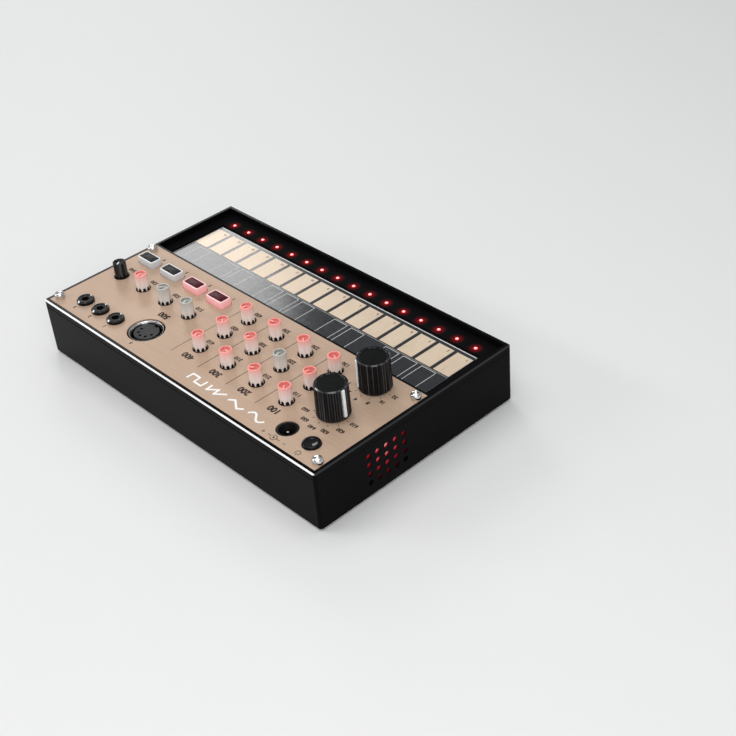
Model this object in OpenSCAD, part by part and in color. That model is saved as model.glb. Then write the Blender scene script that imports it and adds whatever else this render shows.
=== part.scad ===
/* [Case] */
// Width of the case, side to side
body_w = 193; // [188:0.5:210]
// Depth of the case, front to rear
body_d = 115; // [112:0.5:125]
// Height of the case from its lower edge to its rim
body_h = 28.9; // [27.5:0.1:36]
// Thickness of the side walls, which is also the width of the rim
wall = 2; // [1.6:0.1:2.4]
// Radius of the upright corners
corner_r = 1.5; // [0.8:0.1:2.5]
// Width of the bevel along the top edge of the rim
edge_bevel = 0.6; // [0.3:0.1:0.8]
// Thickness of the deck that carries the control panel
deck_t = 1.5; // [1.2:0.1:2]
// Depth of the key tray below the rim
tray_drop = 3.5; // [3:0.1:4]
// Thickness of the key tray's floor
tray_t = 1.3; // [1:0.1:1.6]
// Depth of the key tray, front to rear
tray_d = 46.8; // [44:0.2:48]
// Width of the lip in front of the control panel
lip_w = 0.9; // [0.6:0.1:1.2]
// Thickness of the wall that drops from the lip into the tray
web_t = 2; // [1.6:0.1:2.4]
// Radius of the screw pillars inside the case
pillar_r = 3.2; // [2.8:0.1:3.4]
// Radius of the bosses that hold the panel board
boss_r = 2.4; // [2:0.1:2.8]

/* [Base] */
// Thickness of the bottom cover
cover_t = 2; // [1.8:0.1:2.6]
// Height of the rubber feet
foot_h = 1.2; // [0.8:0.1:3]
// Radius of the rubber feet
foot_r = 5; // [4:0.1:7]
// Distance of the feet from the case's edges
foot_inset = 11; // [9:0.5:16]
// Thickness of the battery bay's walls
bay_wall = 1.6; // [1.4:0.1:2.2]
// Width of the ledge that the battery door closes against
bay_ledge = 0.8; // [0.6:0.1:1]
// Thickness of the battery door
door_t = 1.8; // [1.6:0.1:1.8]
// Radius of the battery door's hinge pins
hinge_pin_r = 0.6; // [0.5:0.05:0.7]
// Length of the battery door's hinge pins
hinge_pin_l = 2; // [1.5:0.1:3]

/* [Batteries] */
// Diameter of a cell
cell_d = 14.5; // [13.5:0.1:15.5]
// Length of a cell's can
cell_l = 49.5; // [46:0.5:53]
// Radius of the raised contact on a cell
nub_r = 2.75; // [2:0.05:3.2]
// Height of the raised contact on a cell
nub_h = 1; // [0.8:0.1:1.4]
// Number of cells side by side
cell_count = 6; // [4:1:6]
// Length of a contact spring as fitted
spring_l = 2.6; // [2:0.1:4]

/* [Panel] */
// Thickness of the control panel
panel_t = 1.5; // [1.2:0.1:1.8]
// Distance of the panel screws from the panel's sides
screw_inset_x = 2.55; // [2.5:0.05:3.5]
// Distance of the panel screws from the panel's front and rear edges
screw_inset_y = 4.1; // [3.5:0.1:5]
// Radius of the panel screw heads
screw_head_r = 2.4; // [2:0.1:2.5]
// Height of the panel screw heads
screw_head_h = 2.8; // [1.5:0.1:3.2]
// Radius of the panel and cover screws
screw_r = 1.25; // [1:0.05:1.5]
// Length of the panel and cover screws
screw_l = 9; // [7:0.5:10]

/* [Small knobs] */
// Radius of a small knob
trim_r = 3; // [2.6:0.05:3.3]
// Height of a small knob above the panel
trim_h = 8.5; // [7:0.1:10]
// Gap between a small knob and its panel hole
trim_gap = 0.65; // [0.4:0.05:0.9]
// Distance of the first knob column from the panel's left side
trim_from_left = 41.95; // [40.5:0.05:43]
// Distance of the first knob row from the panel's rear edge
trim_from_rear = 22.05; // [20.5:0.05:24]
// Distance between the knob columns
trim_pitch_x = 19.5; // [18:0.1:20.5]
// Distance between the knob rows
trim_pitch_y = 13.95; // [13:0.05:15]
// Distance of the last knob row from the panel's front edge
trim_from_front = 13.05; // [12:0.05:14.5]
// Distance from the last knob column to the first button
section_gap = 22.9; // [21:0.1:25]
// Distance of the tempo row's last knob from the panel's right side
volume_from_right = 10.05; // [9.5:0.05:11]
// Distance of the tempo row from the panel's rear edge
tempo_from_rear = 34.75; // [33.5:0.05:36]
// Distance between the knobs of the tempo row
tempo_pitch = 17.7; // [16.5:0.1:18.5]
// Radius of the volume knob
volume_r = 3.2; // [2.8:0.05:3.4]
// Height of the volume knob above the panel
volume_h = 8; // [7:0.1:10]

/* [Selector knobs] */
// Radius of a selector knob at its foot
selector_r = 7.4; // [6.5:0.05:8]
// Radius of a selector knob at its top
selector_top_r = 7.2; // [6:0.05:7.4]
// Height of a selector knob's top above the panel
selector_h = 15.9; // [13:0.1:17]
// Number of flutes round a selector knob
flute_count = 40; // [24:2:48]
// Radius of a flute
flute_r = 0.36; // [0.25:0.01:0.42]
// Distance of the selector knobs from the panel's left side
selector_from_left = 20.85; // [19:0.05:22]
// Distance of the rear selector knob from the panel's rear edge
selector_from_rear = 29.55; // [28.5:0.05:31]
// Distance between the selector knobs
selector_pitch = 23.8; // [20:0.1:24.5]
// Radius of a selector shaft
shaft_r = 3; // [2.5:0.05:3.2]
// Direction of the voice pointer at rest, anticlockwise from the right
voice_angle = 180; // [30:30:180]
// Direction of the octave pointer at rest, anticlockwise from the right
octave_angle = 60; // [30:30:180]

/* [Buttons] */
// Width of a button at the panel
button_w = 11.8; // [11:0.1:13]
// Depth of a button at the panel
button_d = 6.5; // [6:0.1:8]
// Height of a button above the panel
button_h = 3.4; // [2.5:0.1:4]
// How far each side of a button draws in towards its top
button_taper = 0.1; // [0.05:0.05:0.3]
// Radius of a button's upright corners
button_corner_r = 1.2; // [0.6:0.1:1.6]
// Width of the inlay in a button's top
inlay_w = 10; // [8:0.1:10.4]
// Depth of the inlay in a button's top
inlay_d = 5; // [4:0.1:5.2]
// Thickness of the inlay
inlay_t = 0.8; // [0.5:0.1:1]
// Travel of a button
button_travel = 0.6; // [0.3:0.1:0.8]
// Distance of the last button from the panel's right side
button_from_right = 11.35; // [10.5:0.05:13]
// Distance of the buttons from the panel's rear edge
button_from_rear = 50.95; // [49.5:0.05:52]
// Distance between the buttons
button_pitch = 18; // [17:0.1:19]

/* [Sockets] */
// Distance of the connector row from the panel's rear edge
socket_from_rear = 10.15; // [9.5:0.05:11]
// Distance of the last audio socket from the panel's right side
audio_from_right = 15.55; // [14.5:0.05:16.5]
// Distance between the audio sockets
audio_pitch = 12.2; // [11:0.1:13]
// Radius of an audio socket's bore
audio_bore_r = 1.8; // [1.7:0.01:1.9]
// Depth of an audio socket's bore
audio_bore_l = 13; // [11:0.5:14]
// Radius of an audio socket's collar
nut_r = 4.2; // [3.9:0.05:4.5]
// Height of an audio socket's collar
nut_h = 2; // [1.5:0.1:2.4]
// Distance of the DIN socket from the panel's right side
din_from_right = 57.65; // [56:0.05:60]
// Distance of the DIN socket from the panel's rear edge
din_from_rear = 14.55; // [13.5:0.05:16]
// Outer radius of the DIN socket's metal shell
din_shell_r = 8.3; // [8:0.05:8.5]
// Thickness of the DIN socket's metal shell
din_shell_t = 1.3; // [1:0.1:1.5]
// Radius of the DIN socket's insert
din_insert_r = 5.9; // [5.6:0.05:6.1]
// Radius of the circle that the DIN pins lie on
din_pin_circle_r = 3.75; // [3.5:0.05:4]
// Distance of the power inlet from the panel's left side
dc_from_left = 27.75; // [27:0.05:29.5]
// Radius of the power inlet's bore
dc_bore_r = 2.6; // [2.4:0.05:2.9]
// Radius of the power inlet's centre pin
dc_pin_r = 0.85; // [0.6:0.05:1]
// Distance of the power button from the panel's left side
power_from_left = 12.95; // [12:0.05:14]
// Radius of the power button
power_r = 3.95; // [3.6:0.05:4.1]
// Height of the power button above the panel
power_h = 1.2; // [0.8:0.1:2.5]
// Travel of the power button
power_travel = 1.5; // [1:0.1:1.8]

/* [Keyboard] */
// Distance of the key sheet from the case's sides
sheet_from_side = 7.5; // [6.8:0.1:8.5]
// Depth of the light ledge in front of the key sheet
ledge_d = 9.9; // [9:0.1:11]
// Distance of the step lights from the front wall
led_from_front = 6.6; // [5.6:0.1:7.4]
// Radius of a step light
led_r = 0.8; // [0.6:0.05:1.1]
// Thickness of the key sheet
sheet_t = 0.4; // [0.3:0.05:0.6]
// Number of keys and step lights
key_count = 16; // [12:1:18]
// Gap between two key pads
key_gap = 2; // [1.4:0.1:2.6]
// Depth of a key pad, front to rear
pad_d = 15.6; // [13:0.1:17]
// Distance of the key pads from the front edge of the sheet
pad_from_edge = 3.2; // [2.4:0.1:4]
// Thickness of a key pad
pad_t = 0.1; // [0.05:0.01:0.15]

/* [Speaker] */
// Radius of the speaker's flange
speaker_r = 9.7; // [9:0.1:11]
// Depth of the speaker's basket behind its flange
basket_d = 5; // [3.5:0.1:6]
// Radius of the speaker's magnet
magnet_r = 6; // [5:0.1:7]
// Thickness of the speaker's magnet
magnet_t = 3; // [2:0.1:4]
// Distance of the speaker's axis from the case's rear edge
speaker_from_rear = 38.6; // [36:0.1:44]
// Radius of a grille hole
grille_r = 1.3; // [1:0.05:1.5]
// Distance between grille holes along the wall
grille_pitch_y = 5; // [4:0.1:5.5]
// Distance between grille holes up the wall
grille_pitch_z = 4.55; // [3.6:0.05:4.6]
// Number of grille holes along the wall
grille_columns = 5; // [3:1:5]
// Number of grille holes up the wall
grille_rows = 4; // [3:1:4]

/* [Boards] */
// Thickness of the circuit boards
board_t = 1.6; // [1.2:0.1:1.8]
// Height of the sockets between the main board and the deck
socket_h = 11; // [10:0.1:12]
// Width of a potentiometer or rotary switch body
pot_w = 7.4; // [6.8:0.1:7.8]
// Radius of a small knob's stem
stem_r = 2; // [1.7:0.05:2.3]
// Radius of the board screws
board_screw_r = 1; // [0.8:0.05:1.2]

/* [Clearances] */
// Gap round the control panel, the key sheet and the bottom cover
panel_gap = 0.15; // [0.1:0.05:0.25]
// Running clearance of a shaft, stem or hinge pin in its bore
run_fit = 0.05; // [0.02:0.01:0.08]
// Clearance between a knob and the shaft it is pushed onto, or a screw in its thread
push_fit = 0.02; // [0.01:0.01:0.04]
// Gap between a moving piece and what it passes or stops against
move_gap = 0.3; // [0.2:0.05:0.35]
// Gap between a shaft or shell and the panel hole it stands in
hole_gap = 0.6; // [0.4:0.05:0.8]
// Clearance of a screw in the hole it passes through
screw_gap = 0.2; // [0.1:0.05:0.3]
// Gap between a cell and the bay round it
cell_gap = 0.2; // [0.1:0.05:0.3]

/* [Hidden] */
$fn = 64;

// How far a cut runs past the face that it opens
over = 1;

// Levels, from the surface that the feet stand on
base_z = foot_h;
floor_z = base_z + cover_t;
cell_z = floor_z + cell_gap + cell_d / 2;
bay_top_z = floor_z + 2 * cell_gap + cell_d + bay_wall;
solder_room = 1.1;
panel_board_z = bay_top_z + solder_room;
panel_board_top = panel_board_z + board_t;
rim_z = base_z + body_h;
seat_z = rim_z - panel_t;
deck_z = seat_z - deck_t;
tray_z = rim_z - tray_drop;
tray_under_z = tray_z - tray_t;
main_board_top = deck_z - socket_h;
main_board_z = main_board_top - board_t;

// Plan of the case and the panel
inner_w = body_w - 2 * wall;
inner_d = body_d - 2 * wall;
front_y = -inner_d / 2;
rear_y = inner_d / 2;
step_y = front_y + tray_d;
recess_front_y = step_y + lip_w;
panel_w = inner_w - 2 * panel_gap;
panel_rear_y = rear_y - panel_gap;
panel_front_y = recess_front_y + panel_gap;
panel_d = panel_rear_y - panel_front_y;
panel_left_x = -panel_w / 2;
panel_right_x = panel_w / 2;

// The controls fill the panel, and their distances spread or close up with it
trim_columns = 4;
trim_rows = 3;
section_knobs = trim_columns * trim_rows;
tempo_knobs = 3;
button_count = 4;
audio_count = 3;
layout_w = trim_from_left + (trim_columns - 1) * trim_pitch_x
    + section_gap + (button_count - 1) * button_pitch + button_from_right;
layout_d = trim_from_rear + (trim_rows - 1) * trim_pitch_y + trim_from_front;
spread_x = panel_w / layout_w;
spread_y = panel_d / layout_d;
trim_step_x = spread_x * trim_pitch_x;
trim_step_y = spread_y * trim_pitch_y;
tempo_step = spread_x * tempo_pitch;
button_step = spread_x * button_pitch;
audio_step = spread_x * audio_pitch;

// Places of the controls
selector_x = panel_left_x + spread_x * selector_from_left;
voice_y = panel_rear_y - spread_y * selector_from_rear;
octave_y = voice_y - spread_y * selector_pitch;
trim_x = panel_left_x + spread_x * trim_from_left;
trim_y = panel_rear_y - spread_y * trim_from_rear;
volume_x = panel_right_x - spread_x * volume_from_right;
tempo_y = panel_rear_y - spread_y * tempo_from_rear;
button_x = panel_right_x - spread_x * button_from_right;
button_y = panel_rear_y - spread_y * button_from_rear;
audio_x = panel_right_x - spread_x * audio_from_right;
socket_y = panel_rear_y - spread_y * socket_from_rear;
din_x = panel_right_x - spread_x * din_from_right;
din_y = panel_rear_y - spread_y * din_from_rear;
dc_x = panel_left_x + spread_x * dc_from_left;
power_x = panel_left_x + spread_x * power_from_left;
trim_places = [
    for (i = [0 : section_knobs + tempo_knobs - 1])
        i < section_knobs
            ? [trim_x + floor(i / trim_rows) * trim_step_x, trim_y - (i % trim_rows) * trim_step_y]
            : [volume_x - (tempo_knobs - i + section_knobs) * tempo_step, tempo_y]
];
volume_place = [volume_x, tempo_y];

// Turn of each small knob at rest, anticlockwise from pointing rearward
trim_turns = [35, -20, 60, -50, 15, 40, 75, -30, -70, 10, 50, -15, 25, -40, 0];
volume_turn = 30;
selector_places = [[selector_x, voice_y], [selector_x, octave_y]];
button_places = [
    for (i = [0 : button_count - 1])
        [button_x - (button_count - 1 - i) * button_step, button_y]
];
audio_places = [
    for (i = [0 : audio_count - 1])
        [audio_x - (audio_count - 1 - i) * audio_step, socket_y]
];
din_place = [din_x, din_y];
dc_place = [dc_x, socket_y];
power_place = [power_x, socket_y];

// Potentiometers, switches and their holes
pot_top_z = deck_z - move_gap;
shoulder_z = pot_top_z + move_gap / 2;
knob_led_r = 1.3;
knob_led_h = 0.8;
stem_foot_z = panel_board_top + knob_led_h + move_gap;
rotary_extra = 2.2;
rotary_w = pot_w + rotary_extra;
trim_hole_r = trim_r + trim_gap;
volume_hole_r = volume_r + trim_gap;
shaft_hole_r = shaft_r + hole_gap;
shaft_foot_z = panel_board_top + move_gap;
selector_lift = 0.4;
selector_cap_t = 3;
selector_foot_z = rim_z + selector_lift;
selector_top_z = rim_z + selector_h;
shaft_top_z = selector_top_z - selector_cap_t;
selector_chamfer = 0.6;
flute_sink = 0.65;
knob_crown = 0.5;
knob_slot_w = 0.8;
knob_slot_depth = 0.5;
power_crown = 0.6;
pointer_w = 1.3;
pointer_depth = 0.35;

// Buttons and their switches, which share the room between the deck and the panel board
flange_grip = 0.7;
flange_w = move_gap + flange_grip;
flange_share = 0.25;
switch_room = deck_z - panel_board_top;
flange_t = flange_share * (switch_room - 2 * move_gap - button_travel);
flange_top_z = deck_z - move_gap;
flange_foot_z = flange_top_z - flange_t;
tab_w = 6;
button_stem_r = 1.5;
inlay_sink = 0.1;
lit_buttons = 2;
tact_w = 6;
tact_top_z = flange_foot_z - button_travel - move_gap;
button_stem_z = panel_board_top + button_travel + move_gap;
power_hole_r = power_r + move_gap;
power_flange_r = power_hole_r + flange_grip;
latch_switch_w = 7;
latch_switch_h = 6.5;
latch_switch_top = main_board_top + latch_switch_h;
power_stem_z = main_board_top + power_travel + move_gap;

// Sockets
audio_body = [9, 10];
bushing_r = 3;
bushing_hole_r = bushing_r + move_gap;
bushing_sink = 0.4;
bushing_top = rim_z + nut_h - bushing_sink;
din_hole_r = din_shell_r + hole_gap;
din_base_w = 17;
din_base_h = 4.9;
din_base_top = main_board_top + din_base_h;
din_shell_sink = 0.3;
din_insert_sink = 0.9;
din_shell_top = rim_z - din_shell_sink;
din_insert_top = rim_z - din_insert_sink;
din_pin_r = 0.75;
din_pin_l = 7;
din_pin_step = 45;
din_key_w = 2;
din_key_l = 3;
dc_body = [10, 11];
dc_tube_r = 4.7;
dc_hole_r = dc_tube_r + move_gap;
dc_tube_sink = 0.3;
dc_mouth_r = 4.3;
dc_mouth_l = 3;
dc_bore_l = 10;
dc_pin_sink = 1.5;
dc_tube_top = rim_z - dc_tube_sink;
dc_floor_z = dc_tube_top - dc_bore_l;
dc_pin_top = dc_tube_top - dc_pin_sink;

// Keyboard
sheet_w = body_w - 2 * sheet_from_side;
sheet_front_y = front_y + ledge_d;
key_pitch = sheet_w / key_count;
pad_w = key_pitch - key_gap;
sheet_top_z = tray_under_z + sheet_t;
led_y = front_y + led_from_front;
touch_lap = 1.5;
board_margin = 0.5;
touch_board_front = led_y - led_r - board_margin;
touch_board_rear = step_y + touch_lap;
key_x = [for (i = [0 : key_count - 1]) (i + 0.5) * key_pitch - sheet_w / 2];

// Screw pillars and bosses
pillar_x = panel_right_x - screw_inset_x;
screw_rows = [panel_rear_y - screw_inset_y, panel_front_y + screw_inset_y];
front_pillar_wall = 1.35;
pillar_sink = 0.3;
front_pillar_r = screw_r + front_pillar_wall;
front_pillar_x = inner_w / 2 - front_pillar_r + pillar_sink;
front_pillar_y = front_y + front_pillar_r - pillar_sink;
panel_screw_places = [for (y = screw_rows, s = [-1, 1]) [s * pillar_x, y]];
front_screw_places = [for (s = [-1, 1]) [s * front_pillar_x, front_pillar_y]];
cover_screw_places = concat(panel_screw_places, front_screw_places);
cover_head_h = 1;
cover_head_r = 2.2;
cover_head_recess = 1.2;
pilot_spare = 1;
pilot_r = screw_r + push_fit;
screw_hole_r = screw_r + screw_gap;
left_boss_x = (selector_x + trim_x) / 2;
boss_places = [
    [left_boss_x, trim_y - trim_step_y / 2],
    [left_boss_x, trim_y - 3 * trim_step_y / 2],
    [volume_x - 3 * tempo_step / 2, tempo_y],
    [volume_x - tempo_step / 2, tempo_y]
];
board_head_r = 1.9;
board_head_h = 0.8;
board_screw_bite = switch_room - pilot_spare;
board_pilot_r = board_screw_r + push_fit;
board_hole_r = board_screw_r + screw_gap;

// Circuit boards
board_gap = 1;
main_board_w = 2 * (pillar_x - pillar_r - board_gap);
main_board_front = din_y - din_base_w / 2 - board_gap;
main_board_rear = rear_y - 2 * board_gap;
panel_board_left = selector_x - rotary_w / 2 - board_gap;
panel_board_right = pillar_x - pillar_r - board_gap;
panel_board_front = step_y + web_t + board_gap;
panel_board_rear = trim_y + pot_w / 2 + board_margin;
panel_board_notch_x = din_x - din_hole_r - board_gap;
panel_board_notch_y = main_board_front - board_margin;
standoff_inset = 4;
dc_to_standoff = 16;
din_to_standoff = 24;
standoff_places = [
    [-main_board_w / 2 + standoff_inset, main_board_front + standoff_inset],
    [main_board_w / 2 - standoff_inset, main_board_front + standoff_inset],
    [dc_x + dc_to_standoff, socket_y],
    [din_x - din_to_standoff, socket_y]
];
header_l = 30;
header_w = 5;
header_x = trim_x + trim_step_x;
header_y = main_board_front + header_w / 2 + board_margin;
cable_w = 16;
cable_t = 0.3;
cable_tail = 4;
cable_x = (trim_places[section_knobs - 1][0] + trim_places[section_knobs][0]) / 2;

// Battery bay
contact_t = 0.4;
contact_w = 9;
spring_r = 4.2;
spring_tip_r = 2.6;
cell_pitch = cell_d + 2 * cell_gap;
bay_w = cell_count * cell_pitch;
bay_l = 2 * contact_t + cell_gap + cell_l + nub_h + spring_l;
bay_rear_y = main_board_front - bay_wall - board_gap;
bay_front_y = bay_rear_y - bay_l;
bay_mid_y = (bay_front_y + bay_rear_y) / 2;
opening_w = bay_w + 2 * bay_ledge;
opening_l = bay_l + 2 * bay_ledge;
door_gap = move_gap;
door_w = opening_w - 2 * door_gap;
door_front_y = bay_front_y - bay_ledge + door_gap;
hinge_y = bay_rear_y + bay_ledge - door_gap - door_t / 2;
hinge_z = base_z + door_t / 2;
grip_count = 4;
grip_w = 16;
grip_d = 1.2;
grip_pitch = 2.6;
grip_depth = 0.8;
foot_bevel = 0.4;
foot_x = body_w / 2 - foot_inset;
foot_y = body_d / 2 - foot_inset;

// Speaker
speaker_drop = 0.65;
speaker_y = body_d / 2 - spread_y * speaker_from_rear;
speaker_z = (floor_z + deck_z) / 2 - speaker_drop;
flange_ring_t = 1;
basket_t = 1;
basket_step = 0.8;
basket_r = speaker_r - basket_step;
basket_back_r = magnet_r + basket_step;
cone_r = basket_r - basket_t - run_fit;
cone_t = 0.4;
cone_lip = 0.6;
cone_sink = 0.2;
cone_room = 2;
cone_d = basket_d - cone_room;
cone_neck_r = 3;

TRIM_NODES = [
    "detune_knob", "portamento_knob", "pitch_sweep_knob",
    "cutoff_knob", "peak_knob", "filter_sweep_knob",
    "lfo_rate_knob", "lfo_pitch_knob", "lfo_cutoff_knob",
    "attack_knob", "decay_knob", "sustain_knob",
    "delay_time_knob", "delay_feedback_knob", "tempo_knob"
];
BUTTON_NODES = ["record_button", "play_button", "memory_button", "function_button"];
INLAY_NODES = ["record_inlay", "play_inlay", "memory_inlay", "function_inlay"];
SELECTOR_NODES = ["voice_knob", "octave_knob"];
SHAFT_NODES = ["voice_shaft", "octave_shaft"];

// Places its children at each point of a plan
module at_each(places) {
    for (p = places)
        translate([p[0], p[1], 0])
            children();
}

// A cylinder between two levels
module post(r, z0, z1) {
    translate([0, 0, z0])
        cylinder(r = r, h = z1 - z0);
}

// A block between two corners
module block(from, to) {
    translate(from)
        cube(to - from);
}

// A block centred on the axis, between two levels
module pad(w, d, z0, z1) {
    translate([-w / 2, -d / 2, z0])
        cube([w, d, z1 - z0]);
}

// A block with round upright corners, between two levels
module round_pad(w, d, r, z0, z1) {
    pad(w - 2 * r, d, z0, z1);
    pad(w, d - 2 * r, z0, z1);
    for (x = [-1, 1], y = [-1, 1])
        translate([x * (w / 2 - r), y * (d / 2 - r), 0])
            post(r, z0, z1);
}

// A tall section, bevelled along its two top edges and extruded along the depth
module bevelled_bar(w, h, l, bevel) {
    rotate([90, 0, 0])
        linear_extrude(l, center = true)
            polygon([
                [-w / 2, 0],
                [w / 2, 0],
                [w / 2, h - bevel],
                [w / 2 - bevel, h],
                [-w / 2 + bevel, h],
                [-w / 2, h - bevel]
            ]);
}

// Half the section of a round cap with a rounded top edge
module crowned_half(r, z0, z1, crown) {
    translate([0, z0])
        square([r, z1 - crown - z0]);
    translate([0, z0])
        square([r - crown, z1 - z0]);
    intersection() {
        translate([r - crown, z1 - crown])
            circle(crown);
        translate([r - crown, z1 - crown])
            square(crown);
    }
}

// The outside of the case, rounded at its corners and bevelled along its rim
module case_block() {
    intersection() {
        round_pad(body_w, body_d, corner_r, base_z, rim_z);
        translate([0, 0, base_z])
            bevelled_bar(body_w, body_h, body_d + over, edge_bevel);
        translate([0, 0, base_z])
            rotate(90)
                bevelled_bar(body_d, body_h, body_w + over, edge_bevel);
    }
}

// The room inside the case, lower under the key tray than under the deck
module case_room() {
    web_y = step_y + web_t;
    block([-inner_w / 2, front_y, base_z - over], [inner_w / 2, web_y, tray_under_z]);
    block([-inner_w / 2, web_y - over, base_z - over], [inner_w / 2, rear_y, tray_under_z]);
    block([-inner_w / 2, web_y, tray_under_z - over], [inner_w / 2, rear_y, deck_z]);
}

// Recesses in the top of the case for the panel and the keys
module case_recesses() {
    block([-inner_w / 2, recess_front_y, seat_z], [inner_w / 2, rear_y, rim_z + over]);
    block([-inner_w / 2, front_y, tray_z], [inner_w / 2, step_y, rim_z + over]);
    block([-sheet_w / 2, sheet_front_y, tray_under_z - over], [sheet_w / 2, step_y, tray_z + over]);
}

// Holes for the controls and sockets, cut alike through the panel and the deck
module control_holes(z0, z1) {
    at_each(trim_places)
        post(trim_hole_r, z0, z1);
    at_each([volume_place])
        post(volume_hole_r, z0, z1);
    at_each(selector_places)
        post(shaft_hole_r, z0, z1);
    at_each(audio_places)
        post(bushing_hole_r, z0, z1);
    at_each([din_place])
        post(din_hole_r, z0, z1);
    at_each([dc_place])
        post(dc_hole_r, z0, z1);
    at_each([power_place])
        post(power_hole_r, z0, z1);
    at_each(button_places)
        round_pad(button_w + 2 * move_gap, button_d + 2 * move_gap, button_corner_r + move_gap, z0, z1);
}

// Grille holes in the left wall, in front of the speaker
module grille_holes() {
    for (i = [0 : grille_columns - 1], j = [0 : grille_rows - 1])
        translate([
            -body_w / 2 - over,
            speaker_y + (i - (grille_columns - 1) / 2) * grille_pitch_y,
            speaker_z + (j - (grille_rows - 1) / 2) * grille_pitch_z
        ])
            rotate([0, 90, 0])
                cylinder(r = grille_r, h = wall + 2 * over);
}

module upper_case() {
    color("#111013")
        difference() {
            union() {
                difference() {
                    case_block();
                    case_room();
                    case_recesses();
                }
                at_each(panel_screw_places)
                    post(pillar_r, floor_z, deck_z + deck_t / 2);
                at_each(front_screw_places)
                    post(front_pillar_r, floor_z, tray_under_z + tray_t / 2);
                at_each(boss_places)
                    post(boss_r, panel_board_top, deck_z + deck_t / 2);
            }
            control_holes(deck_z - over, seat_z + over);
            at_each(panel_screw_places)
                post(pilot_r, rim_z - screw_l - pilot_spare, seat_z + over);
            at_each(cover_screw_places)
                post(pilot_r, floor_z - over, base_z + cover_head_recess + screw_l + pilot_spare);
            at_each(boss_places)
                post(board_pilot_r, panel_board_top - over, panel_board_top + board_screw_bite + move_gap);
            for (x = key_x)
                translate([x, led_y, 0])
                    post(led_r + run_fit, tray_under_z - over, tray_z + over);
            grille_holes();
        }
}

// The bay that holds the cells, open below
module bay_shell() {
    difference() {
        block(
            [-bay_w / 2 - bay_wall, bay_front_y - bay_wall, base_z + cover_t / 2],
            [bay_w / 2 + bay_wall, bay_rear_y + bay_wall, bay_top_z]
        );
        block(
            [-bay_w / 2, bay_front_y, base_z - over],
            [bay_w / 2, bay_rear_y, bay_top_z - bay_wall]
        );
    }
}

module bottom_cover() {
    color("#17161a")
        difference() {
            union() {
                pad(inner_w - 2 * panel_gap, inner_d - 2 * panel_gap, base_z, floor_z);
                bay_shell();
                at_each(standoff_places)
                    post(boss_r, floor_z - cover_t / 2, main_board_z);
            }
            translate([-opening_w / 2, bay_front_y - bay_ledge, base_z - over])
                cube([opening_w, opening_l, cover_t + over]);
            translate([-door_w / 2 - hinge_pin_l - move_gap, hinge_y, hinge_z])
                rotate([0, 90, 0])
                    cylinder(r = hinge_pin_r + run_fit, h = door_w + 2 * hinge_pin_l + 2 * move_gap);
            at_each(standoff_places)
                post(board_pilot_r, main_board_z - board_screw_bite - move_gap, main_board_z + over);
            at_each(cover_screw_places) {
                post(screw_hole_r, base_z - over, floor_z + over);
                post(cover_head_r + panel_gap, base_z - over, base_z + cover_head_recess);
            }
        }
}

module battery_door() {
    color("#17161a") {
        difference() {
            union() {
                block([-door_w / 2, door_front_y, base_z], [door_w / 2, hinge_y, base_z + door_t]);
                translate([-door_w / 2, hinge_y, hinge_z])
                    rotate([0, 90, 0])
                        cylinder(r = door_t / 2, h = door_w);
            }
            for (i = [1 : grip_count])
                translate([-grip_w / 2, door_front_y + i * grip_pitch, base_z - over])
                    cube([grip_w, grip_d, over + grip_depth]);
        }
        translate([-door_w / 2 - hinge_pin_l, hinge_y, hinge_z])
            rotate([0, 90, 0])
                cylinder(r = hinge_pin_r, h = door_w + 2 * hinge_pin_l);
    }
}

module rubber_feet() {
    color("#222222")
        at_each([for (x = [-1, 1], y = [-1, 1]) [x * foot_x, y * foot_y]]) {
            cylinder(r1 = foot_r - foot_bevel, r2 = foot_r, h = foot_bevel);
            post(foot_r, foot_bevel, foot_h);
        }
}

module control_panel() {
    color("#b7977a")
        difference() {
            block([panel_left_x, panel_front_y, seat_z], [panel_right_x, panel_rear_y, rim_z]);
            control_holes(seat_z - over, rim_z + over);
            at_each(panel_screw_places)
                post(screw_hole_r, seat_z - over, rim_z + over);
        }
}

// A screw head with round shoulders and a cross recess, standing on a level
module pan_head(r, h) {
    shoulder = h * 0.55;
    crown_r = r * 0.72;
    slot_l = r * 1.1;
    slot_w = r * 0.22;
    difference() {
        union() {
            cylinder(r = r, h = shoulder);
            translate([0, 0, shoulder])
                cylinder(r1 = r, r2 = crown_r, h = h - shoulder);
        }
        for (a = [45, 135])
            rotate(a)
                pad(slot_l, slot_w, h / 2, h + over);
    }
}

module panel_screws() {
    color("#d9d9d6")
        at_each(panel_screw_places) {
            translate([0, 0, rim_z])
                pan_head(screw_head_r, screw_head_h);
            post(screw_r, rim_z - screw_l, rim_z);
        }
}

module cover_screws() {
    head_z = base_z + cover_head_recess;
    color("#2b2b2e")
        at_each(cover_screw_places) {
            translate([0, 0, head_z])
                mirror([0, 0, 1])
                    pan_head(cover_head_r, cover_head_h);
            post(screw_r, head_z, head_z + screw_l);
        }
}

module board_screws() {
    color("#a8a8a8") {
        at_each(boss_places) {
            translate([0, 0, panel_board_z])
                mirror([0, 0, 1])
                    pan_head(board_head_r, board_head_h);
            post(board_screw_r, panel_board_z, panel_board_top + board_screw_bite);
        }
        at_each(standoff_places) {
            translate([0, 0, main_board_top])
                pan_head(board_head_r, board_head_h);
            post(board_screw_r, main_board_z - board_screw_bite, main_board_top);
        }
    }
}

module touch_sheet() {
    color("#15141a")
        block(
            [-sheet_w / 2 + panel_gap, sheet_front_y + panel_gap, tray_under_z],
            [sheet_w / 2 - panel_gap, step_y - panel_gap, sheet_top_z]
        );
}

module key_pads() {
    color("#c8a878")
        for (x = key_x)
            translate([x - pad_w / 2, sheet_front_y + pad_from_edge, sheet_top_z])
                cube([pad_w, pad_d, pad_t]);
}

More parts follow.
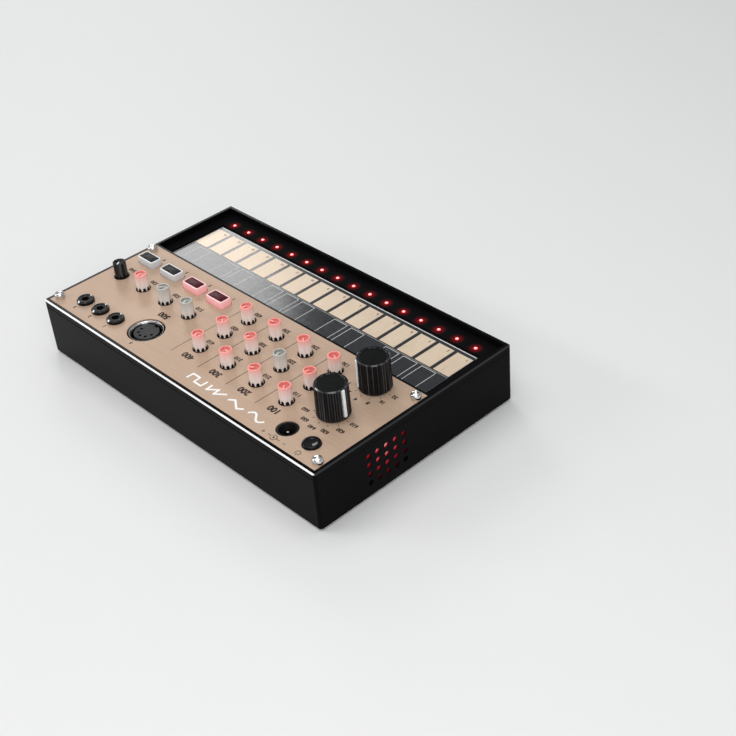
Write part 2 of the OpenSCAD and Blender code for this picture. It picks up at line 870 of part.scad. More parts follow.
module touch_board() {
    half = sheet_w / 2 + touch_lap;
    color("#1d5a34")
        block(
            [-half, touch_board_front, tray_under_z - board_t],
            [half, touch_board_rear, tray_under_z]
        );
}

module step_leds() {
    color("#ff3b30")
        for (x = key_x)
            translate([x, led_y, 0])
                post(led_r, tray_under_z, tray_z);
}

// A flat cable from under the touch board to the panel board
module touch_cable() {
    from_z = tray_under_z - board_t - cable_t;
    to_z = panel_board_top;
    drop_y = (touch_board_rear + panel_board_front) / 2;
    color("#d8d2c0") {
        block(
            [cable_x - cable_w / 2, touch_board_rear - cable_tail, from_z],
            [cable_x + cable_w / 2, drop_y, from_z + cable_t]
        );
        block(
            [cable_x - cable_w / 2, drop_y - cable_t, min(from_z, to_z)],
            [cable_x + cable_w / 2, drop_y, max(from_z, to_z) + cable_t]
        );
        block(
            [cable_x - cable_w / 2, drop_y - cable_t, to_z],
            [cable_x + cable_w / 2, panel_board_front + cable_tail, to_z + cable_t]
        );
    }
}

module panel_board() {
    color("#1d5a34")
        difference() {
            block(
                [panel_board_left, panel_board_front, panel_board_z],
                [panel_board_right, panel_board_rear, panel_board_top]
            );
            block(
                [panel_board_notch_x, panel_board_notch_y, panel_board_z - over],
                [panel_board_right + over, panel_board_rear + over, panel_board_top + over]
            );
            at_each(boss_places)
                post(board_hole_r, panel_board_z - over, panel_board_top + over);
        }
}

module knob_leds() {
    color("#ff5040")
        at_each(trim_places)
            post(knob_led_r, panel_board_top, panel_board_top + knob_led_h);
}

module pot_bodies() {
    color("#2a2c30")
        at_each(concat(trim_places, [volume_place]))
            difference() {
                pad(pot_w, pot_w, panel_board_top, pot_top_z);
                post(stem_r + run_fit, panel_board_top - over, pot_top_z + over);
            }
}

module selector_switches() {
    color("#2a2c30")
        at_each(selector_places)
            difference() {
                pad(rotary_w, rotary_w, panel_board_top, pot_top_z);
                post(shaft_r + run_fit, panel_board_top - over, pot_top_z + over);
            }
}

module button_switches() {
    color("#2a2c30")
        at_each(button_places)
            difference() {
                pad(tact_w, tact_w, panel_board_top, tact_top_z);
                post(button_stem_r + run_fit, panel_board_top - over, tact_top_z + over);
            }
}

module main_board() {
    color("#1d5a34")
        difference() {
            block(
                [-main_board_w / 2, main_board_front, main_board_z],
                [main_board_w / 2, main_board_rear, main_board_top]
            );
            at_each(standoff_places)
                post(board_hole_r, main_board_z - over, main_board_top + over);
        }
}

module board_header() {
    color("#1a1a1a")
        translate([header_x, header_y, 0])
            pad(header_l, header_w, main_board_top, panel_board_z);
}

module power_switch() {
    color("#2a2c30")
        at_each([power_place])
            difference() {
                pad(latch_switch_w, latch_switch_w, main_board_top, latch_switch_top);
                post(button_stem_r + run_fit, main_board_top - over, latch_switch_top + over);
            }
}

module power_button() {
    top_z = rim_z + power_h;
    color("#121214")
        at_each([power_place])
            rotate_extrude() {
                translate([0, power_stem_z])
                    square([button_stem_r, top_z - power_stem_z]);
                translate([0, flange_foot_z])
                    square([power_flange_r, flange_t]);
                crowned_half(power_r, flange_foot_z, top_z, power_crown);
            }
}

module audio_sockets() {
    color("#141416")
        at_each(audio_places)
            difference() {
                union() {
                    pad(audio_body[0], audio_body[1], main_board_top, deck_z);
                    post(bushing_r, deck_z - over, bushing_top);
                }
                post(audio_bore_r, bushing_top - audio_bore_l, bushing_top + over);
            }
}

module socket_nuts() {
    bore = bushing_r + push_fit;
    ring = (nut_r - bore) / 2;
    color("#0c0c0e")
        at_each(audio_places)
            rotate_extrude() {
                translate([bore, rim_z])
                    square([nut_r - bore, nut_h - ring]);
                translate([bore + ring, rim_z + nut_h - ring])
                    circle(ring);
            }
}

module din_insert() {
    color("#161618")
        at_each([din_place])
            difference() {
                union() {
                    pad(din_base_w, din_base_w, main_board_top, din_base_top);
                    post(din_insert_r, din_base_top - over, din_insert_top);
                }
                for (i = [-2 : 2])
                    rotate(90 + i * din_pin_step)
                        translate([din_pin_circle_r, 0, 0])
                            post(din_pin_r, din_insert_top - din_pin_l, din_insert_top + over);
                translate([0, -din_insert_r, 0])
                    pad(din_key_w, din_key_w, din_insert_top - din_key_l, din_insert_top + over);
            }
}

module din_shell() {
    color("#cfcfd2")
        at_each([din_place])
            difference() {
                post(din_shell_r, din_base_top, din_shell_top);
                post(din_shell_r - din_shell_t, din_base_top - over, din_shell_top + over);
            }
}

module dc_socket() {
    color("#141416")
        at_each([dc_place]) {
            difference() {
                union() {
                    pad(dc_body[0], dc_body[1], main_board_top, deck_z);
                    post(dc_tube_r, deck_z - over, dc_tube_top);
                }
                post(dc_bore_r, dc_floor_z, dc_tube_top + over);
                translate([0, 0, dc_tube_top - dc_mouth_l])
                    cylinder(r1 = dc_bore_r, r2 = dc_mouth_r, h = dc_mouth_l + over);
            }
            post(dc_pin_r, dc_floor_z - over, dc_pin_top);
        }
}

// Turns a shape that faces up so that it faces out through the left wall
module in_left_wall() {
    translate([-inner_w / 2, speaker_y, speaker_z])
        rotate([0, 90, 0])
            children();
}

module speaker_basket() {
    color("#3a3a3e")
        in_left_wall()
            difference() {
                union() {
                    cylinder(r = speaker_r, h = flange_ring_t);
                    translate([0, 0, flange_ring_t / 2])
                        cylinder(r1 = basket_r, r2 = basket_back_r, h = basket_d - flange_ring_t / 2);
                }
                translate([0, 0, -over])
                    cylinder(r = basket_r - basket_t, h = over + flange_ring_t);
                translate([0, 0, flange_ring_t / 2])
                    cylinder(
                        r1 = basket_r - basket_t,
                        r2 = basket_back_r - basket_t,
                        h = basket_d - flange_ring_t / 2 - basket_t
                    );
            }
}

module speaker_cone() {
    color("#26262a")
        in_left_wall()
            rotate_extrude()
                polygon([
                    [0, cone_d - cone_t],
                    [cone_neck_r, cone_d - cone_t],
                    [cone_r - cone_lip, cone_sink],
                    [cone_r, cone_sink],
                    [cone_r, cone_sink + cone_t],
                    [cone_r - cone_lip, cone_sink + cone_t],
                    [cone_neck_r, cone_d],
                    [0, cone_d]
                ]);
}

module speaker_magnet() {
    color("#8a8a8e")
        in_left_wall()
            post(magnet_r, basket_d, basket_d + magnet_t);
}

// Lays its children along the bay for each cell, turned end for end in turn
module each_cell() {
    for (i = [0 : cell_count - 1])
        translate([(i - (cell_count - 1) / 2) * cell_pitch, bay_mid_y, cell_z])
            rotate([i % 2 == 0 ? -90 : 90, 0, 0])
                translate([0, 0, -bay_l / 2])
                    children();
}

module battery_cells() {
    can_z = contact_t + spring_l;
    color("#3c6e8f")
        each_cell() {
            post(cell_d / 2, can_z, can_z + cell_l);
            post(nub_r, can_z, can_z + cell_l + nub_h);
        }
}

module battery_contacts() {
    color("#c9cbd0")
        each_cell() {
            pad(contact_w, contact_w, 0, contact_t);
            cylinder(r1 = spring_r, r2 = spring_tip_r, h = contact_t + spring_l - cell_gap / 2);
            pad(contact_w, contact_w, bay_l - contact_t, bay_l);
        }
}

module volume_knob() {
    color("#131315")
        at_each([volume_place])
            small_knob(volume_r, rim_z + volume_h, volume_turn);
}

// A turned knob on a stem, with round top edges and a pointer slot
module small_knob(r, top_z, turn) {
    rotate(turn)
        difference() {
            rotate_extrude() {
                translate([0, stem_foot_z])
                    square([stem_r, top_z - stem_foot_z]);
                crowned_half(r, shoulder_z, top_z, knob_crown);
            }
            translate([-knob_slot_w / 2, 0, top_z - knob_slot_depth])
                cube([knob_slot_w, r + over, knob_slot_depth + over]);
        }
}

module trim_knob(i) {
    color("#efe4e0")
        at_each([trim_places[i]])
            small_knob(trim_r, rim_z + trim_h, trim_turns[i]);
}

// The part of a button that shows, drawn in towards its top
module button_cap() {
    intersection() {
        round_pad(button_w, button_d, button_corner_r, flange_foot_z, rim_z + button_h);
        rotate([90, 0, 0])
            tapered_bar(button_w, button_d + 2 * over);
        rotate([90, 0, 90])
            tapered_bar(button_d, button_w + 2 * over);
    }
}

// A bar that is straight up to the panel and draws in above it
module tapered_bar(w, l) {
    top_z = rim_z + button_h;
    linear_extrude(l, center = true)
        polygon([
            [-w / 2, flange_foot_z - over],
            [w / 2, flange_foot_z - over],
            [w / 2, rim_z],
            [w / 2 - button_taper, top_z],
            [-w / 2 + button_taper, top_z],
            [-w / 2, rim_z]
        ]);
}

module button(i) {
    lit = i < lit_buttons;
    top_z = rim_z + button_h;
    color(lit ? "#ff8f8a" : "#e9eaea")
        at_each([button_places[i]])
            difference() {
                union() {
                    button_cap();
                    pad(tab_w, button_d + 2 * flange_w, flange_foot_z, flange_top_z);
                    post(button_stem_r, button_stem_z, flange_top_z);
                }
                pad(inlay_w, inlay_d, top_z - inlay_t, top_z + over);
            }
}

module button_inlay(i) {
    top_z = rim_z + button_h;
    color("#241619")
        at_each([button_places[i]])
            pad(inlay_w - 2 * run_fit, inlay_d - 2 * run_fit, top_z - inlay_t, top_z - inlay_sink);
}

// A fluted knob that tapers a little, with a groove for its pointer line
module selector_knob(i) {
    turn = [voice_angle, octave_angle][i];
    h = selector_top_z - selector_foot_z;
    lean = atan((selector_r - selector_top_r) / h);
    color("#131315")
        at_each([selector_places[i]])
            rotate(turn)
                difference() {
                    union() {
                        translate([0, 0, selector_foot_z])
                            cylinder(r1 = selector_r, r2 = selector_top_r, h = h - selector_chamfer);
                        translate([0, 0, selector_top_z - selector_chamfer])
                            cylinder(
                                r1 = selector_top_r,
                                r2 = selector_top_r - selector_chamfer,
                                h = selector_chamfer
                            );
                    }
                    for (k = [0 : flute_count - 1])
                        rotate((k + 0.5) * 360 / flute_count)
                            translate([selector_r + flute_r * (1 - flute_sink), 0, selector_foot_z - over])
                                rotate([0, -lean, 0])
                                    cylinder(r = flute_r, h = h + 2 * over, $fn = 24);
                    translate([0, 0, selector_foot_z - over])
                        rotate([0, -lean, 0])
                            translate([selector_r - pointer_depth, -pointer_w / 2, 0])
                                cube([pointer_depth + over, pointer_w, h + 2 * over]);
                    post(shaft_r + push_fit, selector_foot_z - over, shaft_top_z + push_fit);
                }
}

module selector_shaft(i) {
    color("#c4c6ca")
        at_each([selector_places[i]])
            post(shaft_r, shaft_foot_z, shaft_top_z);
}

upper_case();
bottom_cover();
battery_door();
rubber_feet();
control_panel();
panel_screws();
cover_screws();
board_screws();
touch_sheet();
key_pads();
touch_board();
step_leds();
touch_cable();
panel_board();
knob_leds();
pot_bodies();
selector_switches();
button_switches();
main_board();
board_header();
power_switch();
power_button();
audio_sockets();
socket_nuts();
din_insert();
din_shell();
dc_socket();
speaker_basket();
speaker_cone();
speaker_magnet();
battery_cells();
battery_contacts();
volume_knob();
for (i = [0 : len(TRIM_NODES) - 1])
    trim_knob(i);
for (i = [0 : len(BUTTON_NODES) - 1])
    button(i);
for (i = [0 : len(INLAY_NODES) - 1])
    button_inlay(i);
for (i = [0 : len(SELECTOR_NODES) - 1])
    selector_knob(i);
for (i = [0 : len(SHAFT_NODES) - 1])
    selector_shaft(i);
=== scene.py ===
import math
import bmesh
import bpy
from mathutils import Matrix, Vector


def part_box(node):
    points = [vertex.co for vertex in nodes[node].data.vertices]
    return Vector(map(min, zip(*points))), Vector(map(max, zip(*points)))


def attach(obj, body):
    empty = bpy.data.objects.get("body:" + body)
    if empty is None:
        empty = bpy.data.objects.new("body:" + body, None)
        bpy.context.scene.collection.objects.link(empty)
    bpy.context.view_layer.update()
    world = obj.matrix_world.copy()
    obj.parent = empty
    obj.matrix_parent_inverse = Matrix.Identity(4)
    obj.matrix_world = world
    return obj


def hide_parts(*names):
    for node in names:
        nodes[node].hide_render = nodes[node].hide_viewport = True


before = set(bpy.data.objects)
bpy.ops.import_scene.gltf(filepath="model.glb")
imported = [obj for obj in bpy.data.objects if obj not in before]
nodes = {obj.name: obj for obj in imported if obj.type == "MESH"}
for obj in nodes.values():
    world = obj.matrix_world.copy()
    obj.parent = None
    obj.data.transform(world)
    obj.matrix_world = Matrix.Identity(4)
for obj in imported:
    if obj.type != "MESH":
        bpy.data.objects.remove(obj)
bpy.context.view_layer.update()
mm = 0.001
turn = 2 * math.pi
print("frame loaded:", len(nodes), "nodes")


# node helpers, shared by shapes and finishes
def pickSocket(sockets, key):
    if isinstance(key, int):
        return sockets[key]
    return next(s for s in sockets if s.name == key and s.enabled)


def addNode(tree, kind, values=None, **settings):
    node = tree.nodes.new(kind)
    for key, value in settings.items():
        setattr(node, key, value)
    for key, value in (values or {}).items():
        socket = pickSocket(node.inputs, key)
        if isinstance(value, bpy.types.NodeSocket):
            tree.links.new(value, socket)
        else:
            socket.default_value = value
    return node


def calc(tree, operation, a, b=0.0):
    return addNode(tree, "ShaderNodeMath", {0: a, 1: b}, operation=operation).outputs[0]


def times(tree, a, b):
    return calc(tree, "MULTIPLY", a, b)


def plus(tree, a, b):
    return calc(tree, "ADD", a, b)


def minus(tree, a, b):
    return calc(tree, "SUBTRACT", a, b)


def over(tree, a, b):
    return calc(tree, "DIVIDE", a, b)


def objectCoords(tree):
    return addNode(tree, "ShaderNodeTexCoord").outputs["Object"]


def objectAxes(tree):
    return addNode(tree, "ShaderNodeSeparateXYZ", {0: objectCoords(tree)}).outputs


def pointValue(tree, label):
    return addNode(tree, "ShaderNodeAttribute", attribute_name=label).outputs["Fac"]


def fallOff(tree, aside, ahead, reach, power):
    # one in the middle, nothing from the reach outwards
    square = plus(tree, times(tree, aside, aside), times(tree, ahead, ahead))
    away = over(tree, calc(tree, "SQRT", square), reach)
    return calc(tree, "POWER", calc(tree, "MAXIMUM", minus(tree, 1.0, away), 0.0), power)


def openTree(kind, name, inputs, outputs):
    # the kind of an input follows from its value, or else from its name
    tree = bpy.data.node_groups.new(name, kind)
    kinds = {float: "Float", int: "Int", tuple: "Vector"}
    for label, value in inputs.items():
        socketKind = kinds.get(type(value), label)
        socket = tree.interface.new_socket(label, in_out="INPUT", socket_type="NodeSocket" + socketKind)
        if value is not None:
            socket.default_value = value
    for label in outputs:
        socketKind = "Geometry" if label == "Geometry" else "Float"
        tree.interface.new_socket(label, in_out="OUTPUT", socket_type="NodeSocket" + socketKind)
    return tree, addNode(tree, "NodeGroupInput").outputs, addNode(tree, "NodeGroupOutput").inputs


# shader groups: they only put out what changes over a surface
def makeGrainGroup():
    tree, given, result = openTree(
        "ShaderNodeTree", "fineGrain", {"Scale": 900.0, "Stretch": (1, 1, 1)}, ["Grain", "Cloud"])
    coords = objectCoords(tree)
    pulled = addNode(tree, "ShaderNodeVectorMath", {0: coords, 1: given["Stretch"]}, operation="MULTIPLY").outputs[0]
    grain = addNode(tree, "ShaderNodeTexNoise", {"Vector": pulled, "Scale": given["Scale"], "Detail": 3.0})
    wide = times(tree, given["Scale"], 0.06)
    cloud = addNode(tree, "ShaderNodeTexNoise", {"Vector": coords, "Scale": wide, "Detail": 2.0})
    tree.links.new(grain.outputs[0], result["Grain"])
    tree.links.new(cloud.outputs[0], result["Cloud"])
    return tree


def makeHandlingGroup():
    tree, given, result = openTree(
        "ShaderNodeTree", "handlingMarks", {"Scale": 40.0, "Scratch Level": 0.62}, ["Smudge", "Scratch"])
    coords = objectCoords(tree)
    smudge = addNode(tree, "ShaderNodeTexNoise",
                     {"Vector": coords, "Scale": given["Scale"], "Detail": 5.0, "Distortion": 0.6})
    scratches = None
    for angle, stretch in ((0.5, (1.0, 26.0, 1.0)), (-0.9, (30.0, 1.0, 1.0)), (1.4, (1.0, 34.0, 3.0))):
        laid = addNode(tree, "ShaderNodeMapping", {"Vector": coords, "Rotation": (0, 0.3, angle), "Scale": stretch})
        hair = addNode(tree, "ShaderNodeTexNoise",
                       {"Vector": laid.outputs[0], "Scale": times(tree, given["Scale"], 1.6), "Detail": 2.0})
        edge = plus(tree, given["Scratch Level"], 0.05)
        line = addNode(tree, "ShaderNodeMapRange",
                       {"Value": hair.outputs[0], "From Min": given["Scratch Level"], "From Max": edge}).outputs[0]
        scratches = line if scratches is None else calc(tree, "MAXIMUM", scratches, line)
    tree.links.new(smudge.outputs[0], result["Smudge"])
    tree.links.new(scratches, result["Scratch"])
    return tree


def makeHaloGroup():
    # painted red spill of light round a row of step lights, laid on the case as emission
    tree, given, result = openTree("ShaderNodeTree", "stepHalo", {
        "First X": 0.0, "Pitch": 0.01, "Last Step": 15.0, "Row Y": 0.0, "Level Z": 0.0, "Reach": 0.003}, ["Halo"])
    axes = objectAxes(tree)
    steps = over(tree, minus(tree, axes[0], given["First X"]), given["Pitch"])
    nearest = calc(tree, "MAXIMUM", calc(tree, "MINIMUM", calc(tree, "ROUND", steps), given["Last Step"]), 0.0)
    aside = times(tree, minus(tree, steps, nearest), given["Pitch"])
    ahead = minus(tree, axes[1], given["Row Y"])
    fall = fallOff(tree, aside, ahead, given["Reach"], 2.2)
    off = calc(tree, "ABSOLUTE", minus(tree, axes[2], given["Level Z"]))
    near = calc(tree, "LESS_THAN", off, 0.6 * mm)
    tree.links.new(times(tree, fall, near), result["Halo"])
    return tree


def makeGrilleGroup():
    # painted red light on the walls of the grille holes, as emission, standing for light from inside the case
    tree, given, result = openTree("ShaderNodeTree", "grilleGlow", {
        "Outer X": 0.0, "Thick": 0.002, "Mid Y": 0.0, "Mid Z": 0.0, "Top Z": 0.0, "Reach": 0.01}, ["Glow"])
    axes = objectAxes(tree)
    deep = over(tree, minus(tree, axes[0], given["Outer X"]), given["Thick"])
    rise = addNode(tree, "ShaderNodeMapRange", {"Value": deep, "From Min": 0.1, "From Max": 0.9}).outputs[0]
    aside = minus(tree, axes[1], given["Mid Y"])
    above = minus(tree, axes[2], given["Mid Z"])
    fall = fallOff(tree, aside, above, given["Reach"], 0.7)
    wall = times(tree, calc(tree, "LESS_THAN", deep, 1.2), calc(tree, "LESS_THAN", axes[2], given["Top Z"]))
    tree.links.new(times(tree, times(tree, rise, fall), wall), result["Glow"])
    return tree


grainGroup = makeGrainGroup()
handlingGroup = makeHandlingGroup()
haloGroup = makeHaloGroup()
grilleGroup = makeGrilleGroup()


# finishes
def feed(shader, label, source):
    shader.id_data.links.new(source, shader.inputs[label])


def startFinish(name, rough=0.5, metal=0.0, **fixed):
    material = bpy.data.materials.new(name)
    material.use_nodes = True
    tree = material.node_tree
    shader = tree.nodes["Principled BSDF"]
    shader.inputs["Roughness"].default_value = rough
    shader.inputs["Metallic"].default_value = metal
    for key, value in fixed.items():
        shader.inputs[key].default_value = value
    return material, tree, shader


def useGroup(tree, group, **values):
    node = addNode(tree, "ShaderNodeGroup", node_tree=group)
    for label, value in values.items():
        node.inputs[label.replace("_", " ")].default_value = value
    return node.outputs


def blendColour(tree, factor, first, second):
    # plain colours get their alpha here
    first, second = ((*c, 1) if isinstance(c, (tuple, list)) else c for c in (first, second))
    node = addNode(tree, "ShaderNodeMix", {"Factor": factor, "A": first, "B": second}, data_type="RGBA")
    return pickSocket(node.outputs, "Result")


def spread(tree, value, low, high, fromLow=0.3, fromHigh=0.7):
    return addNode(tree, "ShaderNodeMapRange", {"Value": value, "From Min": fromLow, "From Max": fromHigh,
                                                "To Min": low, "To Max": high}).outputs[0]


def addBump(tree, shader, height, strength, distance=0.05 * mm):
    bump = addNode(tree, "ShaderNodeBump", {"Strength": strength, "Distance": distance, "Height": height})
    feed(shader, "Normal", bump.outputs[0])


def plainFinish(name, dark, light, rough, scale=900.0, bump=0.1, specular=0.5, metal=0.0, stretch=(1, 1, 1)):
    # colour drifts between two tones, roughness and bump follow the grain
    material, tree, shader = startFinish(name, 0.5, metal, **{"Specular IOR Level": specular})
    grain = useGroup(tree, grainGroup, Scale=scale, Stretch=stretch)
    mixed = plus(tree, times(tree, grain["Grain"], 0.55), times(tree, grain["Cloud"], 0.45))
    feed(shader, "Base Color", blendColour(tree, spread(tree, mixed, 0, 1, 0.35, 0.65), dark, light))
    feed(shader, "Roughness", spread(tree, mixed, rough[0], rough[1]))
    addBump(tree, shader, grain["Grain"], bump)
    return material


def makeCaseGloss(look):
    material, tree, shader = startFinish("caseGloss", **{
        "Emission Strength": look["haloStrength"], "Specular IOR Level": look["specular"],
        "Coat Roughness": 0.06, "Coat IOR": look["coatIor"]})
    marks = useGroup(tree, handlingGroup, Scale=look["markScale"], Scratch_Level=look["scratchLevel"])
    grain = useGroup(tree, grainGroup, Scale=look["waveScale"])
    feed(shader, "Base Color", blendColour(tree, marks["Scratch"], look["black"], look["scratch"]))
    addBump(tree, shader, grain["Grain"], look["wave"], 0.02 * mm)
    level = objectAxes(tree)[2]
    # the ledge with the step lights is matt
    offLedge = calc(tree, "ABSOLUTE", minus(tree, level, look["levelZ"]))
    matt = times(tree, calc(tree, "LESS_THAN", offLedge, 0.3 * mm), look["ledgeRough"])
    feed(shader, "Roughness", calc(tree, "MAXIMUM", spread(tree, marks["Smudge"], *look["rough"]), matt))
    # the bevelled edge of the rim is polished by handling
    edge = times(tree, calc(tree, "GREATER_THAN", level, look["bevelFoot"]),
                 calc(tree, "LESS_THAN", level, look["bevelTop"]))
    feed(shader, "Coat Weight", times(tree, edge, spread(tree, marks["Smudge"], 1.0, 0.8)))
    # painted light: the red glow round the step lights and the red light and glints in the grille holes, as emission of
    # the case
    halo = useGroup(tree, haloGroup, First_X=look["firstX"], Pitch=look["pitch"], Row_Y=look["rowY"],
                    Level_Z=look["levelZ"], Reach=look["reach"])["Halo"]
    glow = useGroup(tree, grilleGroup, Outer_X=look["outerX"], Thick=look["wall"], Mid_Y=look["grilleY"],
                    Mid_Z=look["grilleZ"], Top_Z=look["grilleTop"], Reach=look["grilleReach"])["Glow"]
    spill = blendColour(tree, halo, (0, 0, 0), look["red"])
    feed(shader, "Emission Color", blendColour(tree, glow, spill, stopRamp(tree, glow, look["grille"])))
    return material


def makePanelSatin(look):
    material, tree, shader = startFinish("panelSatin", 0.4, look["metal"], **{"Specular IOR Level": look["specular"]})
    brush = useGroup(tree, grainGroup, Scale=look["brushScale"], Stretch=(0.02, 2.4, 1))
    speck = useGroup(tree, grainGroup, Scale=look["speckScale"])
    marks = useGroup(tree, handlingGroup, Scale=26.0, Scratch_Level=0.68)
    body = blendColour(tree, spread(tree, brush["Grain"], 0, 1, 0.38, 0.62), look["low"], look["high"])
    flaked = blendColour(tree, spread(tree, speck["Grain"], 0, 0.5, 0.52, 0.72), body, look["flake"])
    blendShare = times(tree, marks["Scratch"], 0.25)
    feed(shader, "Base Color", blendColour(tree, blendShare, flaked, look["scratch"]))
    feed(shader, "Roughness", spread(tree, marks["Smudge"], *look["rough"]))
    addBump(tree, shader, brush["Grain"], look["bump"], 0.02 * mm)
    return material


def stopRamp(tree, value, stops):
    ramp = addNode(tree, "ShaderNodeValToRGB", {"Fac": value})
    marks = ramp.color_ramp.elements
    while len(marks) < len(stops):
        marks.new(0.5)
    for mark, (place, colour) in zip(marks, stops):
        mark.position = place
        mark.color = (*colour, 1)
    return ramp.outputs["Color"]


def makeFrost(name, look, light=None):
    # frosted plastic; glow says how far a point lies towards the lit top and carries painted light and shade: the tint
    # and, on lit pieces, the emission; shade says what is dark below, the dark core seen through the skirt and painted
    # shade at the foot and in the grooves
    fixed = {"Emission Strength": look["strength"]} if light else {}
    material, tree, shader = startFinish(name, 0.4, **fixed)
    grain = useGroup(tree, grainGroup, Scale=look["scale"], Stretch=look["stretch"])
    glow = pointValue(tree, "glow")
    shade = pointValue(tree, "shade")
    dark = spread(tree, shade, 0, 1, 0.4, 0.6)
    pale = blendColour(tree, spread(tree, grain["Grain"], 0, 1), look["low"], look["high"])
    tint = stopRamp(tree, glow, look["tint"])
    pale = blendColour(tree, spread(tree, glow, 0, 1, 0.0, look["tint"][0][0]), pale, tint)
    if light:
        # painted glow of pieces lit from inside, mottled by the cloud
        mottledGlow = blendColour(tree, spread(tree, grain["Cloud"], 0, 0.2), stopRamp(tree, glow, light), (0, 0, 0))
        feed(shader, "Emission Color", blendColour(tree, dark, mottledGlow, (0, 0, 0)))
    # the slot tone darkens the feet and the grooves: painted shade over the dark core seen through
    feed(shader, "Base Color", blendColour(tree, dark, pale, look["slot"]))
    feed(shader, "Roughness", spread(tree, grain["Grain"], *look["rough"]))
    addBump(tree, shader, grain["Grain"], look["bump"])
    return material


def makeKnobGloss(name, look):
    # black moulding, shiny on the crests and along the edge, duller in the flutes, with painted grey highlight streaks
    # on the crests
    material, tree, shader = startFinish(name, **{"Specular IOR Level": look["specular"],
                                                  "Coat Roughness": look["coatRough"], "Coat IOR": look["coatIor"]})
    grain = useGroup(tree, grainGroup, Scale=1800.0, Stretch=(1, 1, 0.2))
    shade = pointValue(tree, "shade")
    glow = pointValue(tree, "glow")
    streaks = useGroup(tree, grainGroup, Scale=look["streakScale"], Stretch=(1, 1, 0.03))
    ridge = minus(tree, 1.0, calc(tree, "MINIMUM", shade, 1.0))
    # painted highlight: grey streaks on the crests stand for reflections
    blendShare = times(tree, ridge, spread(tree, streaks["Grain"], 0, 1, 0.42, 0.66))
    body = blendColour(tree, grain["Grain"], look["low"], look["high"])
    feed(shader, "Base Color", blendColour(tree, blendShare, body, look["streak"]))
    feed(shader, "Roughness", spread(tree, grain["Grain"], *look["rough"]))
    crest = times(tree, ridge, look["crest"])
    feed(shader, "Coat Weight", calc(tree, "MAXIMUM", crest, glow))
    addBump(tree, shader, grain["Grain"], 0.03)
    return material


def makeShell(look):
    # plated lip above a dark inside; the shade mark darkens the outer half of the lip and paints shade down the inside
    material, tree, shader = startFinish("socketShell", 0.15)
    grain = useGroup(tree, grainGroup, Scale=1400.0)
    shade = pointValue(tree, "shade")
    plate = blendColour(tree, grain["Grain"], look["low"], look["high"])
    feed(shader, "Base Color", blendColour(tree, shade, plate, look["inside"]))
    feed(shader, "Metallic", minus(tree, 1.0, shade))
    feed(shader, "Roughness", spread(tree, grain["Cloud"], 0.08, 0.2))
    return material


def makeLens(look):
    material, tree, shader = startFinish("redLens", 0.2, **{"Emission Strength": look["strength"]})
    glow = pointValue(tree, "glow")
    grain = useGroup(tree, grainGroup, Scale=2500.0)
    feed(shader, "Emission Color", blendColour(tree, glow, look["skin"], look["core"]))
    feed(shader, "Base Color", blendColour(tree, grain["Grain"], look["low"], look["high"]))
    feed(shader, "Roughness", spread(tree, grain["Cloud"], 0.12, 0.3))
    return material


def makeBoard(look):
    # solder mask with routed copper lines under it
    material, tree, shader = startFinish("boardGreen", 0.4)
    coords = objectCoords(tree)
    cells = addNode(tree, "ShaderNodeTexVoronoi", {"Vector": coords, "Scale": look["traceScale"]},
                    feature="DISTANCE_TO_EDGE", distance="MANHATTAN")
    trace = spread(tree, cells.outputs["Distance"], 1, 0, 0.03, 0.06)
    grain = useGroup(tree, grainGroup, Scale=1200.0)
    mask = blendColour(tree, grain["Cloud"], look["low"], look["high"])
    feed(shader, "Base Color", blendColour(tree, trace, mask, look["copper"]))
    feed(shader, "Roughness", spread(tree, grain["Grain"], 0.25, 0.45))
    addBump(tree, shader, trace, 0.2, 0.03 * mm)
    return material


def makeStriped(name, look, axis):
    # conductors of a flat cable, bands of a cell sleeve
    material, tree, shader = startFinish(name, 0.4, look.get("metal", 0.0))
    coords = objectCoords(tree)
    bands = addNode(tree, "ShaderNodeTexWave", {"Vector": coords, "Scale": look["scale"], "Distortion": 0.0},
                    wave_type="BANDS", bands_direction=axis)
    grain = useGroup(tree, grainGroup, Scale=1500.0)
    stripe = spread(tree, bands.outputs["Fac"], 0, 1, 0.45, 0.55)
    blendShare = times(tree, stripe, spread(tree, grain["Cloud"], 0.85, 1.0))
    feed(shader, "Base Color", blendColour(tree, blendShare, look["low"], look["high"]))
    feed(shader, "Roughness", spread(tree, grain["Grain"], *look["rough"]))
    addBump(tree, shader, bands.outputs["Fac"], look.get("bump", 0.05))
    return material


def makeCone(name, look):
    # parts of the speaker, with a painted red glow and painted glints as emission, standing for the red light inside
    # the case
    material, tree, shader = startFinish(name, 0.9, **{"Emission Strength": look["strength"]})
    grain = useGroup(tree, grainGroup, Scale=1600.0)
    feed(shader, "Base Color", blendColour(tree, grain["Grain"], look["low"], look["high"]))
    glint = spread(tree, grain["Grain"], 0, 1, 0.56, 0.74)
    feed(shader, "Emission Color", blendColour(tree, glint, look["red"], look["glint"]))
    addBump(tree, shader, grain["Grain"], 0.4)
    return material


sheetLow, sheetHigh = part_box("touch_sheet")
ledLow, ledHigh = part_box("step_leds")
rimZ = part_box("control_panel")[1].z
ledgeZ = ledHigh.z
coneAt = sum(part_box("speaker_cone"), Vector()) / 2
stepRow = {"count": 16, "pitch": (ledHigh.x - ledLow.x - 1.6 * mm) / 15, "firstX": ledLow.x + 0.8 * mm,
           "y": (ledLow.y + ledHigh.y) / 2, "lensRadius": 0.8 * mm}

